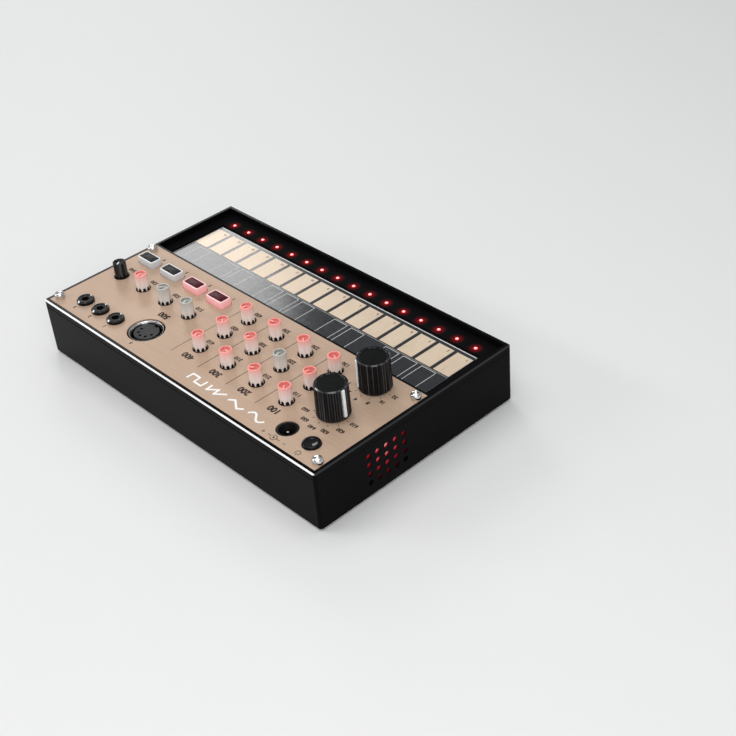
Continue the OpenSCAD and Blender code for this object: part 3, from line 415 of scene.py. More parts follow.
caseGloss = makeCaseGloss({
    "black": (0.0035, 0.0035, 0.004), "scratch": (0.008, 0.008, 0.009), "rough": (0.05, 0.15), "markScale": 22.0,
    "specular": 0.03, "ledgeRough": 0.7, "scratchLevel": 0.72, "coatIor": 1.8,
    "bevelFoot": rimZ - 0.62 * mm, "bevelTop": rimZ - 0.01 * mm,
    "waveScale": 260.0, "wave": 0.06, "haloStrength": 0.9, "red": (0.42, 0.005, 0.009), "reach": 4.2 * mm,
    "firstX": stepRow["firstX"], "pitch": stepRow["pitch"], "rowY": stepRow["y"], "levelZ": ledgeZ,
    "outerX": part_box("upper_case")[0].x, "wall": 2.0 * mm, "grilleY": coneAt.y, "grilleZ": coneAt.z + 4.5 * mm,
    "grilleTop": coneAt.z + 8.6 * mm, "grilleReach": 14.0 * mm,
    "grille": [(0.0, (0.3, 0.004, 0.01)), (0.4, (0.8, 0.02, 0.045)), (0.62, (1.0, 0.16, 0.2)),
               (0.85, (1.0, 0.6, 0.62))]})
panelSatin = makePanelSatin({
    "low": (0.46, 0.322, 0.228), "high": (0.49, 0.346, 0.247), "flake": (0.57, 0.43, 0.325),
    "scratch": (0.6, 0.47, 0.36), "metal": 0.1, "specular": 0.3, "brushScale": 900.0, "speckScale": 5200.0,
    "rough": (0.42, 0.54), "bump": 0.03})
# the red tint towards the top is painted light of the lit knobs; slot is the tone of the painted shade at the feet
frostLook = {"low": (0.68, 0.62, 0.59), "high": (0.82, 0.775, 0.745), "slot": (0.01, 0.008, 0.008), "scale": 900.0,
             "stretch": (1, 1, 0.06), "rough": (0.24, 0.42), "bump": 0.04, "strength": 0.8,
             "tint": [(0.3, (0.74, 0.44, 0.4)), (0.6, (0.7, 0.27, 0.23)), (0.8, (0.46, 0.1, 0.085)),
                      (1.0, (0.36, 0.06, 0.05))]}
# painted light: the lit knobs glow and turn reddish towards the top
frostLit = makeFrost("frostLit", frostLook, [
    (0.0, (0.13, 0.085, 0.075)), (0.3, (0.24, 0.08, 0.07)), (0.6, (0.36, 0.085, 0.07)), (1.0, (0.22, 0.022, 0.018))])
frostClear = makeFrost("frostClear", {
    **frostLook, "low": (0.62, 0.595, 0.56), "high": (0.82, 0.795, 0.755),
    "tint": [(0.3, (0.56, 0.545, 0.505)), (0.6, (0.52, 0.51, 0.47)), (0.8, (0.24, 0.237, 0.208)),
             (1.0, (0.17, 0.168, 0.145))]})
# the caps darken down into the recess and near the panel: painted shade
capLook = {**frostLook, "low": (0.66, 0.7, 0.71), "high": (0.76, 0.79, 0.8), "scale": 1500.0, "stretch": (1, 1, 0.35),
           "bump": 0.03,
           "tint": [(0.3, (0.68, 0.71, 0.72)), (0.6, (0.78, 0.81, 0.82)), (0.8, (0.6, 0.62, 0.63)),
                    (1.0, (0.3, 0.31, 0.32))]}
capClear = makeFrost("capClear", capLook)
# painted light: the lit buttons glow red towards the insert
capLit = makeFrost("capLit", {
    **capLook, "tint": [(0.3, (0.8, 0.6, 0.6)), (0.6, (0.84, 0.62, 0.62)), (0.8, (0.78, 0.42, 0.43)),
                        (1.0, (0.5, 0.06, 0.06))]},
    [(0.0, (0, 0, 0)), (0.3, (0.1, 0.025, 0.03)), (0.6, (0.26, 0.1, 0.11)), (1.0, (0.5, 0.05, 0.06))])
redLens = makeLens({"skin": (1.0, 0.02, 0.03), "core": (1.0, 0.42, 0.4), "low": (0.5, 0.01, 0.012),
                    "high": (0.7, 0.03, 0.03), "strength": 3.0})
boardGreen = makeBoard({"low": (0.012, 0.085, 0.035), "high": (0.02, 0.12, 0.05), "copper": (0.035, 0.19, 0.075),
                        "traceScale": 240.0})
flatCable = makeStriped("flatCable", {"low": (0.62, 0.58, 0.46), "high": (0.75, 0.72, 0.62), "scale": 160.0,
                                      "rough": (0.3, 0.45)}, "X")
cellSleeve = makeStriped("cellSleeve", {"low": (0.05, 0.14, 0.24), "high": (0.55, 0.56, 0.57), "scale": 5.6,
                                        "rough": (0.22, 0.34), "metal": 0.5, "bump": 0.0}, "Y")
conePaper = makeCone("conePaper", {
    "low": (0.02, 0.018, 0.018), "high": (0.045, 0.04, 0.04), "red": (0.4, 0.008, 0.02),
    "glint": (1.0, 0.34, 0.4), "strength": 2.4})
# plain finishes: dark tone, light tone, roughness, grain scale, bump, specular, metal, stretch of the grain
plainLooks = {
    "grainBlack": ((0.014, 0.014, 0.015), (0.028, 0.028, 0.03), (0.5, 0.72), 2600.0, 0.5),
    "footRubber": ((0.016, 0.016, 0.016), (0.034, 0.033, 0.032), (0.7, 0.92), 1800.0, 0.35),
    "brightSteel": ((0.66, 0.66, 0.65), (0.82, 0.82, 0.8), (0.1, 0.24), 1400.0, 0.04, 0.5, 1.0),
    "darkSteel": ((0.1, 0.1, 0.105), (0.2, 0.2, 0.205), (0.3, 0.48), 1600.0, 0.1, 0.5, 1.0),
    "shaftSteel": ((0.5, 0.5, 0.5), (0.66, 0.66, 0.66), (0.22, 0.36), 900.0, 0.1, 0.5, 1.0, (1, 1, 9)),
    "brassContact": ((0.55, 0.38, 0.16), (0.72, 0.53, 0.26), (0.2, 0.34), 2200.0, 0.1, 0.5, 1.0),
    "socketGloss": ((0.003, 0.003, 0.0035), (0.006, 0.006, 0.0065), (0.03, 0.07), 700.0, 0.01, 0.2),
    "insertBlack": ((0.014, 0.0145, 0.015), (0.03, 0.031, 0.032), (0.4, 0.6), 1500.0, 0.1, 0.2),
    "boreBlack": ((0.003, 0.003, 0.0035), (0.007, 0.007, 0.0075), (0.35, 0.5), 1200.0, 0.04, 0.1),
    "partsBlack": ((0.025, 0.026, 0.03), (0.05, 0.052, 0.056), (0.4, 0.6), 1200.0),
    "knobTop": ((0.003, 0.0033, 0.0033), (0.006, 0.0063, 0.0063), (0.3, 0.4), 300.0, 0.005, 0.04),
    "inlaySmoke": ((0.008, 0.007, 0.008), (0.018, 0.015, 0.016), (0.3, 0.42), 900.0, 0.04, 0.08),
    # painted light: the inserts of the lit buttons are tinted red
    "inlayLit": ((0.05, 0.003, 0.007), (0.085, 0.007, 0.012), (0.3, 0.42), 900.0, 0.04, 0.08),
    "sheetGloss": ((0.011, 0.012, 0.014), (0.019, 0.02, 0.024), (0.1, 0.2), 500.0, 0.03),
    "padGold": ((0.64, 0.51, 0.37), (0.71, 0.57, 0.425), (0.26, 0.38), 1100.0, 0.03, 0.5, 0.1, (1, 0.2, 1)),
    "printInk": ((0.02, 0.01, 0.007), (0.045, 0.026, 0.018), (0.45, 0.6), 3000.0, 0.05, 0.2),
    "signInk": ((0.84, 0.83, 0.81), (0.93, 0.92, 0.9), (0.4, 0.55), 3000.0, 0.05),
    "paleInk": ((0.62, 0.62, 0.6), (0.78, 0.78, 0.76), (0.35, 0.5), 3000.0, 0.05),
    "pointerWhite": ((0.84, 0.85, 0.85), (0.92, 0.93, 0.93), (0.4, 0.5), 3000.0, 0.03),
    "greyInk": ((0.3, 0.31, 0.32), (0.42, 0.43, 0.44), (0.3, 0.45), 3000.0, 0.05),
    "magnetGrey": ((0.2, 0.2, 0.21), (0.34, 0.34, 0.35), (0.35, 0.5), 900.0, 0.1, 0.5, 0.8)}
plain = {name: plainFinish(name, *look) for name, look in plainLooks.items()}
# the streak tone is a painted grey highlight on the knob crests
knobBlack = makeKnobGloss("knobBlack", {"low": (0.004, 0.004, 0.0045), "high": (0.009, 0.009, 0.0095),
                                        "rough": (0.2, 0.32), "specular": 0.08, "crest": 0.15, "coatRough": 0.08,
                                        "coatIor": 1.5, "streakScale": 700.0, "streak": (0.085, 0.088, 0.094)})
collarBlack = makeKnobGloss("collarBlack", {"low": (0.003, 0.003, 0.0035), "high": (0.006, 0.006, 0.0065),
                                            "rough": (0.1, 0.2), "specular": 0.1, "crest": 0.0, "coatRough": 0.04,
                                            "coatIor": 1.65, "streakScale": 700.0, "streak": (0.007, 0.007, 0.0075)})
socketShell = makeShell({"low": (0.78, 0.78, 0.77), "high": (0.9, 0.9, 0.88), "inside": (0.006, 0.006, 0.006)})
basketGlow = makeCone("basketGlow", {
    "low": (0.03, 0.02, 0.02), "high": (0.06, 0.04, 0.04), "red": (0.22, 0.003, 0.008),
    "glint": (0.9, 0.16, 0.22), "strength": 2.2})
print("finishes made:", len(bpy.data.materials))


# shapes from Geometry Nodes
def openShape(name, inputs):
    return openTree("GeometryNodeTree", name, {"Geometry": None, **inputs, "Material": None}, ["Geometry"])


def closeShape(tree, given, result, geometry):
    real = addNode(tree, "GeometryNodeRealizeInstances", {0: geometry})
    smooth = addNode(tree, "GeometryNodeSetShadeSmooth", {0: real.outputs[0]})
    painted = addNode(tree, "GeometryNodeSetMaterial", {0: smooth.outputs[0], "Material": given["Material"]})
    tree.links.new(painted.outputs[0], result[0])


placeInputs = {"Count": 1, "Columns": 1, "Start": (0, 0, 0), "Step X": (0, 0, 0), "Step Y": (0, 0, 0),
               "Arc Radius": 0.0, "Arc Start": 0.0, "Arc Step": 0.0}


def vectorCalc(tree, operation, a, b):
    second = "Scale" if operation == "SCALE" else 1
    return addNode(tree, "ShaderNodeVectorMath", {0: a, second: b}, operation=operation).outputs[0]


def placeCopies(tree, given, shape):
    # a row, a grid or an arc of copies
    index = addNode(tree, "GeometryNodeInputIndex").outputs[0]
    column = calc(tree, "MODULO", index, given["Columns"])
    row = calc(tree, "FLOOR", over(tree, index, given["Columns"]))
    place = vectorCalc(tree, "ADD", given["Start"], vectorCalc(tree, "SCALE", given["Step X"], column))
    place = vectorCalc(tree, "ADD", place, vectorCalc(tree, "SCALE", given["Step Y"], row))
    angle = plus(tree, given["Arc Start"], times(tree, index, given["Arc Step"]))
    arm = addNode(tree, "ShaderNodeCombineXYZ", {0: calc(tree, "COSINE", angle), 1: calc(tree, "SINE", angle)})
    place = vectorCalc(tree, "ADD", place, vectorCalc(tree, "SCALE", arm.outputs[0], given["Arc Radius"]))
    points = addNode(tree, "GeometryNodePoints", {"Count": given["Count"], "Position": place})
    return addNode(tree, "GeometryNodeInstanceOnPoints", {"Points": points.outputs[0], "Instance": shape}).outputs[0]


def sweepGrid(tree, given, profile):
    # a grid with one column for each side and one row for each profile point
    count = addNode(tree, "GeometryNodeAttributeDomainSize", {0: profile}, component="MESH").outputs["Point Count"]
    grid = addNode(tree, "GeometryNodeMeshGrid", {"Size X": 1.0, "Size Y": 1.0, "Vertices Y": count,
                                                  "Vertices X": plus(tree, given["Sides"], 1.0)})
    index = addNode(tree, "GeometryNodeInputIndex").outputs[0]
    along = calc(tree, "MODULO", index, count)
    around = calc(tree, "FLOOR", over(tree, index, count))
    position = addNode(tree, "GeometryNodeInputPosition").outputs[0]
    sampled = []
    for label in ("", "glow", "shade"):
        value = position
        if label:
            value = addNode(tree, "GeometryNodeInputNamedAttribute", {"Name": label},
                            data_type="FLOAT").outputs["Attribute"]
        sample = addNode(tree, "GeometryNodeSampleIndex", {"Geometry": profile, "Value": value, "Index": along},
                         data_type="FLOAT" if label else "FLOAT_VECTOR", domain="POINT")
        sampled.append(pickSocket(sample.outputs, "Value"))
    axes = addNode(tree, "ShaderNodeSeparateXYZ", {0: sampled[0]}).outputs
    return grid.outputs[0], around, axes, sampled[1], sampled[2]


def settleGrid(tree, grid, place, glow, shade):
    shape = addNode(tree, "GeometryNodeSetPosition", {"Geometry": grid, "Position": place}).outputs[0]
    for label, value in (("glow", glow), ("shade", shade)):
        shape = addNode(tree, "GeometryNodeStoreNamedAttribute", {"Geometry": shape, "Value": value, "Name": label},
                        data_type="FLOAT", domain="POINT").outputs[0]
    return addNode(tree, "GeometryNodeMergeByDistance", {0: shape, "Distance": 1e-6}).outputs[0]


def makeTurnedTree():
    # a profile of (radius, flute depth, height) points, turned round an upright axis
    tree, given, result = openShape("turnedPiece", {
        "Sides": 64, "Flutes": 0, "Turn": 0.0, "Groove Shade": 0.0004, "Cross Length": 0.0, "Cross Width": 0.0,
        "Cross Floor": 0.0, **placeInputs})
    grid, around, axes, glow, shade = sweepGrid(tree, given, given["Geometry"])
    angle = times(tree, over(tree, around, given["Sides"]), turn)
    wave = calc(tree, "COSINE", times(tree, angle, given["Flutes"]))
    groove = minus(tree, 0.5, times(tree, wave, 0.5))
    reach = minus(tree, axes[0], times(tree, axes[1], groove))
    deep = over(tree, times(tree, axes[1], groove), given["Groove Shade"])
    shade = calc(tree, "MAXIMUM", shade, deep)
    facing = plus(tree, angle, given["Turn"])
    place = addNode(tree, "ShaderNodeCombineXYZ", {
        0: times(tree, reach, calc(tree, "COSINE", facing)),
        1: times(tree, reach, calc(tree, "SINE", facing)), 2: axes[2]}).outputs[0]
    body = settleGrid(tree, grid, place, glow, shade)
    # cross recess of a screw head
    size = addNode(tree, "ShaderNodeCombineXYZ", {0: given["Cross Length"], 1: given["Cross Width"], 2: 0.02})
    bar = addNode(tree, "GeometryNodeMeshCube", {"Size": size.outputs[0]})
    lift = addNode(tree, "ShaderNodeCombineXYZ", {2: plus(tree, given["Cross Floor"], 0.01)})
    cross = addNode(tree, "GeometryNodeJoinGeometry")
    for a in (turn / 8, 3 * turn / 8):
        laid = addNode(tree, "GeometryNodeTransform", {"Geometry": bar.outputs[0], "Translation": lift.outputs[0],
                                                       "Rotation": (0, 0, a)})
        tree.links.new(laid.outputs[0], cross.inputs[0])
    cut = addNode(tree, "GeometryNodeMeshBoolean", {0: body, 1: cross.outputs[0], "Self Intersection": True},
                  operation="DIFFERENCE", solver="EXACT")
    wanted = calc(tree, "GREATER_THAN", given["Cross Length"], 0.0)
    chosen = addNode(tree, "GeometryNodeSwitch", {"Switch": wanted, "False": body, "True": cut.outputs[0]},
                     input_type="GEOMETRY")
    closeShape(tree, given, result, placeCopies(tree, given, chosen.outputs[0]))
    return tree


def makeCapTree():
    # a profile of (inset, scale, height) points round a rounded rectangle
    tree, given, result = openShape("roundedCap", {
        "Sides": 32, "Width": 0.01, "Depth": 0.01, "Corner": 0.001, **placeInputs})
    grid, around, axes, glow, shade = sweepGrid(tree, given, given["Geometry"])
    angle = times(tree, over(tree, plus(tree, around, 0.5), given["Sides"]), turn)
    corner = calc(tree, "MAXIMUM", minus(tree, given["Corner"], axes[0]), 0.02 * mm)
    ends = []
    for size, way in ((given["Width"], "COSINE"), (given["Depth"], "SINE")):
        swing = calc(tree, way, angle)
        half = minus(tree, minus(tree, times(tree, size, 0.5), axes[0]), corner)
        edge = plus(tree, times(tree, half, calc(tree, "SIGN", swing)), times(tree, corner, swing))
        ends.append(times(tree, edge, axes[1]))
    place = addNode(tree, "ShaderNodeCombineXYZ", {0: ends[0], 1: ends[1], 2: axes[2]}).outputs[0]
    closeShape(tree, given, result, placeCopies(tree, given, settleGrid(tree, grid, place, glow, shade)))
    return tree


def makeBarTree():
    # one thin bar for each guide point, sized and turned by the point's attributes
    tree, given, result = openShape("printBars", {})
    bar = addNode(tree, "GeometryNodeMeshCube", {"Size": (1, 1, 1)})
    size = addNode(tree, "GeometryNodeInputNamedAttribute", {"Name": "barSize"}, data_type="FLOAT_VECTOR")
    lean = addNode(tree, "GeometryNodeInputNamedAttribute", {"Name": "barTurn"}, data_type="FLOAT")
    euler = addNode(tree, "ShaderNodeCombineXYZ", {2: lean.outputs["Attribute"]})
    facing = addNode(tree, "FunctionNodeEulerToRotation", {0: euler.outputs[0]})
    copies = addNode(tree, "GeometryNodeInstanceOnPoints", {
        "Points": given["Geometry"], "Instance": bar.outputs[0], "Rotation": facing.outputs[0],
        "Scale": size.outputs["Attribute"]})
    closeShape(tree, given, result, copies.outputs[0])
    return tree


def makeSpringTree():
    tree, given, result = openShape("coilSpring", {
        "Wire": 0.0004, "Wide": 0.004, "Narrow": 0.0025, "Length": 0.003, "Turns": 4.0, "Tilt": (0, 0, 0),
        **placeInputs})
    coil = addNode(tree, "GeometryNodeCurveSpiral", {
        "Resolution": 28, "Rotations": given["Turns"], "Start Radius": given["Wide"], "End Radius": given["Narrow"],
        "Height": given["Length"]})
    wire = addNode(tree, "GeometryNodeCurvePrimitiveCircle", {"Resolution": 8, "Radius": given["Wire"]})
    tube = addNode(tree, "GeometryNodeCurveToMesh", {0: coil.outputs[0], 1: wire.outputs[0], "Fill Caps": True})
    laid = addNode(tree, "GeometryNodeTransform", {"Geometry": tube.outputs[0], "Rotation": given["Tilt"]})
    closeShape(tree, given, result, placeCopies(tree, given, laid.outputs[0]))
    return tree


turnedTree, capTree, barTree, springTree = makeTurnedTree(), makeCapTree(), makeBarTree(), makeSpringTree()


def linkPiece(name, mesh):
    piece = bpy.data.objects.new(name, mesh)
    bpy.context.scene.collection.objects.link(piece)
    return piece


def paint(mesh, material):
    mesh.materials.clear()
    mesh.materials.append(material)
    mesh.polygons.foreach_set("material_index", [0] * len(mesh.polygons))


def cleanMesh(mesh):
    # joins points that coincide, drops faces without area and turns all faces outwards
    sheet = bmesh.new()
    sheet.from_mesh(mesh)
    bmesh.ops.remove_doubles(sheet, verts=sheet.verts, dist=0.001 * mm)
    bmesh.ops.dissolve_degenerate(sheet, edges=sheet.edges, dist=0.001 * mm)
    bmesh.ops.recalc_face_normals(sheet, faces=sheet.faces)
    sheet.to_mesh(mesh)
    sheet.free()


def shapePiece(name, tree, points, values, attributes=None, sharp=32):
    guide = bpy.data.meshes.new(name + "Guide")
    guide.from_pydata([[float(x) for x in p] for p in points], [], [])
    for label, numbers in (attributes or {}).items():
        single = not hasattr(numbers[0], "__len__")
        layer = guide.attributes.new(label, "FLOAT" if single else "FLOAT_VECTOR", "POINT")
        flat = list(numbers) if single else [x for n in numbers for x in n]
        layer.data.foreach_set("value" if single else "vector", [float(x) for x in flat])
    host = linkPiece(name + "Guide", guide)
    modifier = host.modifiers.new("shape", "NODES")
    modifier.node_group = tree
    for item in tree.interface.items_tree:
        if item.item_type == "SOCKET" and item.in_out == "INPUT" and item.name in values:
            modifier[item.identifier] = values[item.name]
    graph = bpy.context.evaluated_depsgraph_get()
    mesh = bpy.data.meshes.new_from_object(host.evaluated_get(graph), preserve_all_data_layers=True, depsgraph=graph)
    host.modifiers.remove(modifier)
    bpy.data.objects.remove(host)
    bpy.data.meshes.remove(guide)
    mesh.name = name
    paint(mesh, values["Material"])
    mesh.set_sharp_from_angle(angle=math.radians(sharp))
    return linkPiece(name, mesh)


def turnedPiece(name, profile, values, **more):
    # profile rows: radius, height, flute depth, glow, shade, all lengths in mm
    rows = [(*row, 0, 0, 0)[:5] for row in profile]
    points = [(row[0] * mm, row[2] * mm, row[1] * mm) for row in rows]
    marks = {"glow": [row[3] for row in rows], "shade": [row[4] for row in rows]}
    return shapePiece(name, turnedTree, points, values, marks, **more)


def capPiece(name, profile, values, **more):
    # profile rows: inset, height, scale, glow, lengths in mm
    points = [(inset * mm, scale, z * mm) for inset, z, scale, glow in profile]
    return shapePiece(name, capTree, points, values, {"glow": [row[3] for row in profile]}, **more)


def barPiece(name, bars, material):
    # bars: x, y, z, length, width, thickness in mm and the turn about Z in degrees
    # neighbours differ a little in height, so that no two faces share a plane
    stagger = 0.004
    spots = [[b[0] * mm, b[1] * mm, (b[2] + stagger * (k % 3)) * mm] for k, b in enumerate(bars)]
    return shapePiece(name, barTree, spots, {"Material": material},
                      {"barSize": [[v * mm for v in b[3:6]] for b in bars],
                       "barTurn": [math.radians(b[6]) for b in bars]})


def middle(node):
    low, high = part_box(node)
    return (low + high) / 2


def footprint(node):
    at = middle(node)
    return (at.x, at.y, 0.0)


def heights(node):
    # foot and top of a node in mm
    low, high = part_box(node)
    return low.z / mm, high.z / mm


def arcRows(centreR, centreZ, radius, fromAngle, toAngle, steps, glow=0):
    # points of a rounded edge in a profile, angles in degrees from outwards
    rows = []
    for k in range(steps + 1):
        a = math.radians(fromAngle + (toAngle - fromAngle) * k / steps)
        rows.append((centreR + radius * math.cos(a), centreZ + radius * math.sin(a), 0, glow))
    return rows


def keep(piece, body, slot, *replaced):
    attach(piece, body)
    if replaced:
        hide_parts(*replaced)


# small knobs: frosted, toothed at the foot, dished on top, with a raised pointer
trimKnob = {"sides": 132, "grooveShade": 0.28, "radius": 2.95, "stem": 2.0, "teeth": 8, "toothDepth": 0.6,
            "toothTop": 1.9, "crown": 0.35, "dish": 0.6, "dishRadius": 2.35, "floorRadius": 2.0, "pointerWidth": 0.75,
            "pointerLength": 2.3, "unlit": ("peak_knob", "delay_time_knob", "delay_feedback_knob")}
trimTurns = {"detune_knob": 35, "portamento_knob": -20, "pitch_sweep_knob": 60, "cutoff_knob": -50, "peak_knob": 15,
             "filter_sweep_knob": 40, "lfo_rate_knob": 75, "lfo_pitch_knob": -30, "lfo_cutoff_knob": -70,
             "attack_knob": 10, "decay_knob": 50, "sustain_knob": -15, "delay_time_knob": 25,
             "delay_feedback_knob": -40, "tempo_knob": 0}


def camelName(node):
    words = node.split("_")
    return words[0] + "".join(w.capitalize() for w in words[1:])


def knobProfile(k, low, high, shoulder, rim):
    top = high - 0.02
    r = k["radius"]
    tooth = k["toothDepth"]
    rows = [(0, low, 0, 0, 1), (k["stem"], low, 0, 0, 1), (k["stem"], shoulder, 0, 0, 1)]
    rows += [(r - 0.35, shoulder, 0, 0, 1), (r - 0.25, shoulder + 0.1, 0, 0, 1), (r - 0.25, rim - 0.15, 0, 0, 1),
             (r, rim - 0.1, tooth, 0, 0), (r, rim + k["toothTop"] * 0.35, tooth),
             (r, rim + k["toothTop"] * 0.55, tooth * 0.6), (r, rim + k["toothTop"] * 0.75, tooth * 0.3),
             (r, rim + k["toothTop"], 0)]
    rows += [(r, rim + 3.6, 0, 0.02), (r - 0.01, rim + 5.4, 0, 0.12), (r - 0.02, top - 1.3, 0, 0.24),
             (r - 0.02, top - k["crown"], 0, 0.4)]
    rows += arcRows(r - 0.02 - k["crown"], top - k["crown"], k["crown"], 15, 90, 5, 0.55)
    rows += [(k["dishRadius"] + 0.1, top, 0, 0.6), (k["dishRadius"], top - 0.06, 0, 0.68),
             (k["floorRadius"], top - k["dish"], 0, 0.9), (0, top - k["dish"], 0, 1.0)]
    return rows


def joinInto(piece, other):
    grown = bmesh.new()
    grown.from_mesh(piece.data)
    grown.from_mesh(other.data)
    grown.to_mesh(piece.data)
    grown.free()
    mesh = other.data
    bpy.data.objects.remove(other)
    bpy.data.meshes.remove(mesh)


def pointerPiece(name, levels, glows, size, reach, start, facing, material):
    # a rounded bar on top of a knob: levels of foot, side and top; length, width and corner; reach, all in mm
    foot, side, top = levels
    rows = [(0, foot, 0, glows[0]), (0, foot, 1, glows[0]), (0, side, 1, glows[1]), (0.1, top, 1, glows[2]),
            (0.1, top, 0, glows[2])]
    piece = capPiece(name, rows, {"Sides": 16, "Width": size[0] * mm, "Depth": size[1] * mm, "Corner": size[2] * mm,
                                  "Material": material})
    piece.data.transform(Matrix.Translation(start) @ Matrix.Rotation(facing, 4, "Z")
                         @ Matrix.Translation((reach * mm, 0, 0)))
    return piece


shoulderZ = 26.95
for node, turned in trimTurns.items():
    low, high = heights(node)
    finish = frostClear if node in trimKnob["unlit"] else frostLit
    start, facing = footprint(node), math.radians(turned + 90)
    knob = turnedPiece(camelName(node), knobProfile(trimKnob, low, high, shoulderZ, rimZ / mm), {
        "Sides": trimKnob["sides"], "Flutes": trimKnob["teeth"], "Groove Shade": trimKnob["grooveShade"] * mm,
        "Turn": facing, "Start": start, "Material": finish})
    top, length = high - 0.02, trimKnob["pointerLength"]
    joinInto(knob, pointerPiece(
        node + "Pointer", (top - trimKnob["dish"] - 0.1, top - 0.2, top - 0.06), (0.8, 0.6, 0.55),
        (length, trimKnob["pointerWidth"], 0.3), length / 2 + 0.1, start, facing, finish))
    keep(knob, node, "knob_frost", node)
print("small knobs made:", len(trimTurns))


def darkTop(knob, level):
    # the flat top gets a duller black than the sides
    knob.data.materials.append(plain["knobTop"])
    for face in knob.data.polygons:
        if face.center.z > level and face.normal.z > 0.9:
            face.material_index = 1


# volume knob: the same build in black, a little wider and with shorter teeth
volume = {**trimKnob, "radius": 3.15, "toothTop": 1.2, "turn": 30, "mark": (2.3, 0.6, 0.25), "markReach": 1.25}
low, high = heights("volume_knob")
start, facing = footprint("volume_knob"), math.radians(volume["turn"] + 90)
rows = [row[:3] for row in knobProfile(volume, low, high, shoulderZ, rimZ / mm)]
volumeKnob = turnedPiece("volumeKnob", rows, {
    "Sides": volume["sides"], "Flutes": volume["teeth"], "Turn": facing, "Start": start, "Material": knobBlack})
darkTop(volumeKnob, (high - 1.1 * volume["dish"]) * mm)
keep(volumeKnob, "volume_knob", "knob_black", "volume_knob")
volumeMark = pointerPiece("volumePointer", (high - 0.65, high - 0.16, high - 0.06), (0, 0, 0), volume["mark"],
                          volume["markReach"], start, facing, plain["pointerWhite"])
keep(volumeMark, "volume_knob", "knob_black")

# selector knobs: fluted all round, dished, with a white line down the side
selector = {"foot": 7.4, "top": 7.2, "flutes": 40, "depth": 0.45, "chamfer": 0.5, "dish": 0.35, "bore": 3.02,
            "lineWidth": 1.3, "lineProud": 0.45, "angles": {"voice": 180, "octave": 60}}
for name, angle in selector["angles"].items():
    z0, z1 = heights(name + "_knob")
    start = footprint(name + "_knob")
    s = selector
    rows = [(s["bore"], z0, 0), (s["foot"] - 0.9, z0, 0), (s["foot"] - 0.3, z0, s["depth"] * 0.4),
            (s["foot"], z0 + 0.3, s["depth"]), (s["top"] + 0.02, z1 - s["chamfer"] - 0.4, s["depth"]),
            (s["top"], z1 - s["chamfer"], 0.02, 1), (s["top"] - s["chamfer"], z1, 0, 1), (s["top"] - 1.0, z1, 0, 0),
            (s["top"] - 1.35, z1 - s["dish"], 0),
            (0, z1 - s["dish"], 0), (0, z1 - 3.0, 0), (s["bore"], z1 - 3.0, 0), (s["bore"], z0, 0)]
    knob = turnedPiece(name + "Selector", rows, {
        "Sides": s["flutes"] * 10, "Flutes": s["flutes"], "Turn": math.radians(angle),
        "Start": start, "Material": knobBlack}, sharp=40)
    darkTop(knob, (z1 - 1.1 * s["dish"]) * mm)
    keep(knob, name + "_selector", "knob_black", name + "_knob")
    line = bmesh.new()
    spots = []
    for z, r in ((z0 + 1.6, s["foot"]), (z1 - s["chamfer"] - 0.1, s["top"] + 0.03)):
        for inwards in (0.55, -s["lineProud"]):
            for side in (-1, 1):
                spots.append(line.verts.new(((r - inwards) * mm, side * s["lineWidth"] / 2 * mm, z * mm)))
    for quad in ((0, 2, 3, 1), (4, 5, 7, 6), (2, 6, 7, 3), (0, 1, 5, 4), (0, 4, 6, 2), (1, 3, 7, 5)):
        line.faces.new([spots[i] for i in quad])
    bmesh.ops.recalc_face_normals(line, faces=line.faces)
    bmesh.ops.bevel(line, geom=line.edges[:], offset=0.06 * mm, segments=2, affect="EDGES")
    line.transform(Matrix.Translation(start) @ Matrix.Rotation(math.radians(angle), 4, "Z"))
    mesh = bpy.data.meshes.new(name + "Pointer")
    line.to_mesh(mesh)
    line.free()
    mesh.materials.append(plain["pointerWhite"])
    keep(linkPiece(name + "Pointer", mesh), name + "_selector", "knob_black")
print("selector knobs made:", len(selector["angles"]))

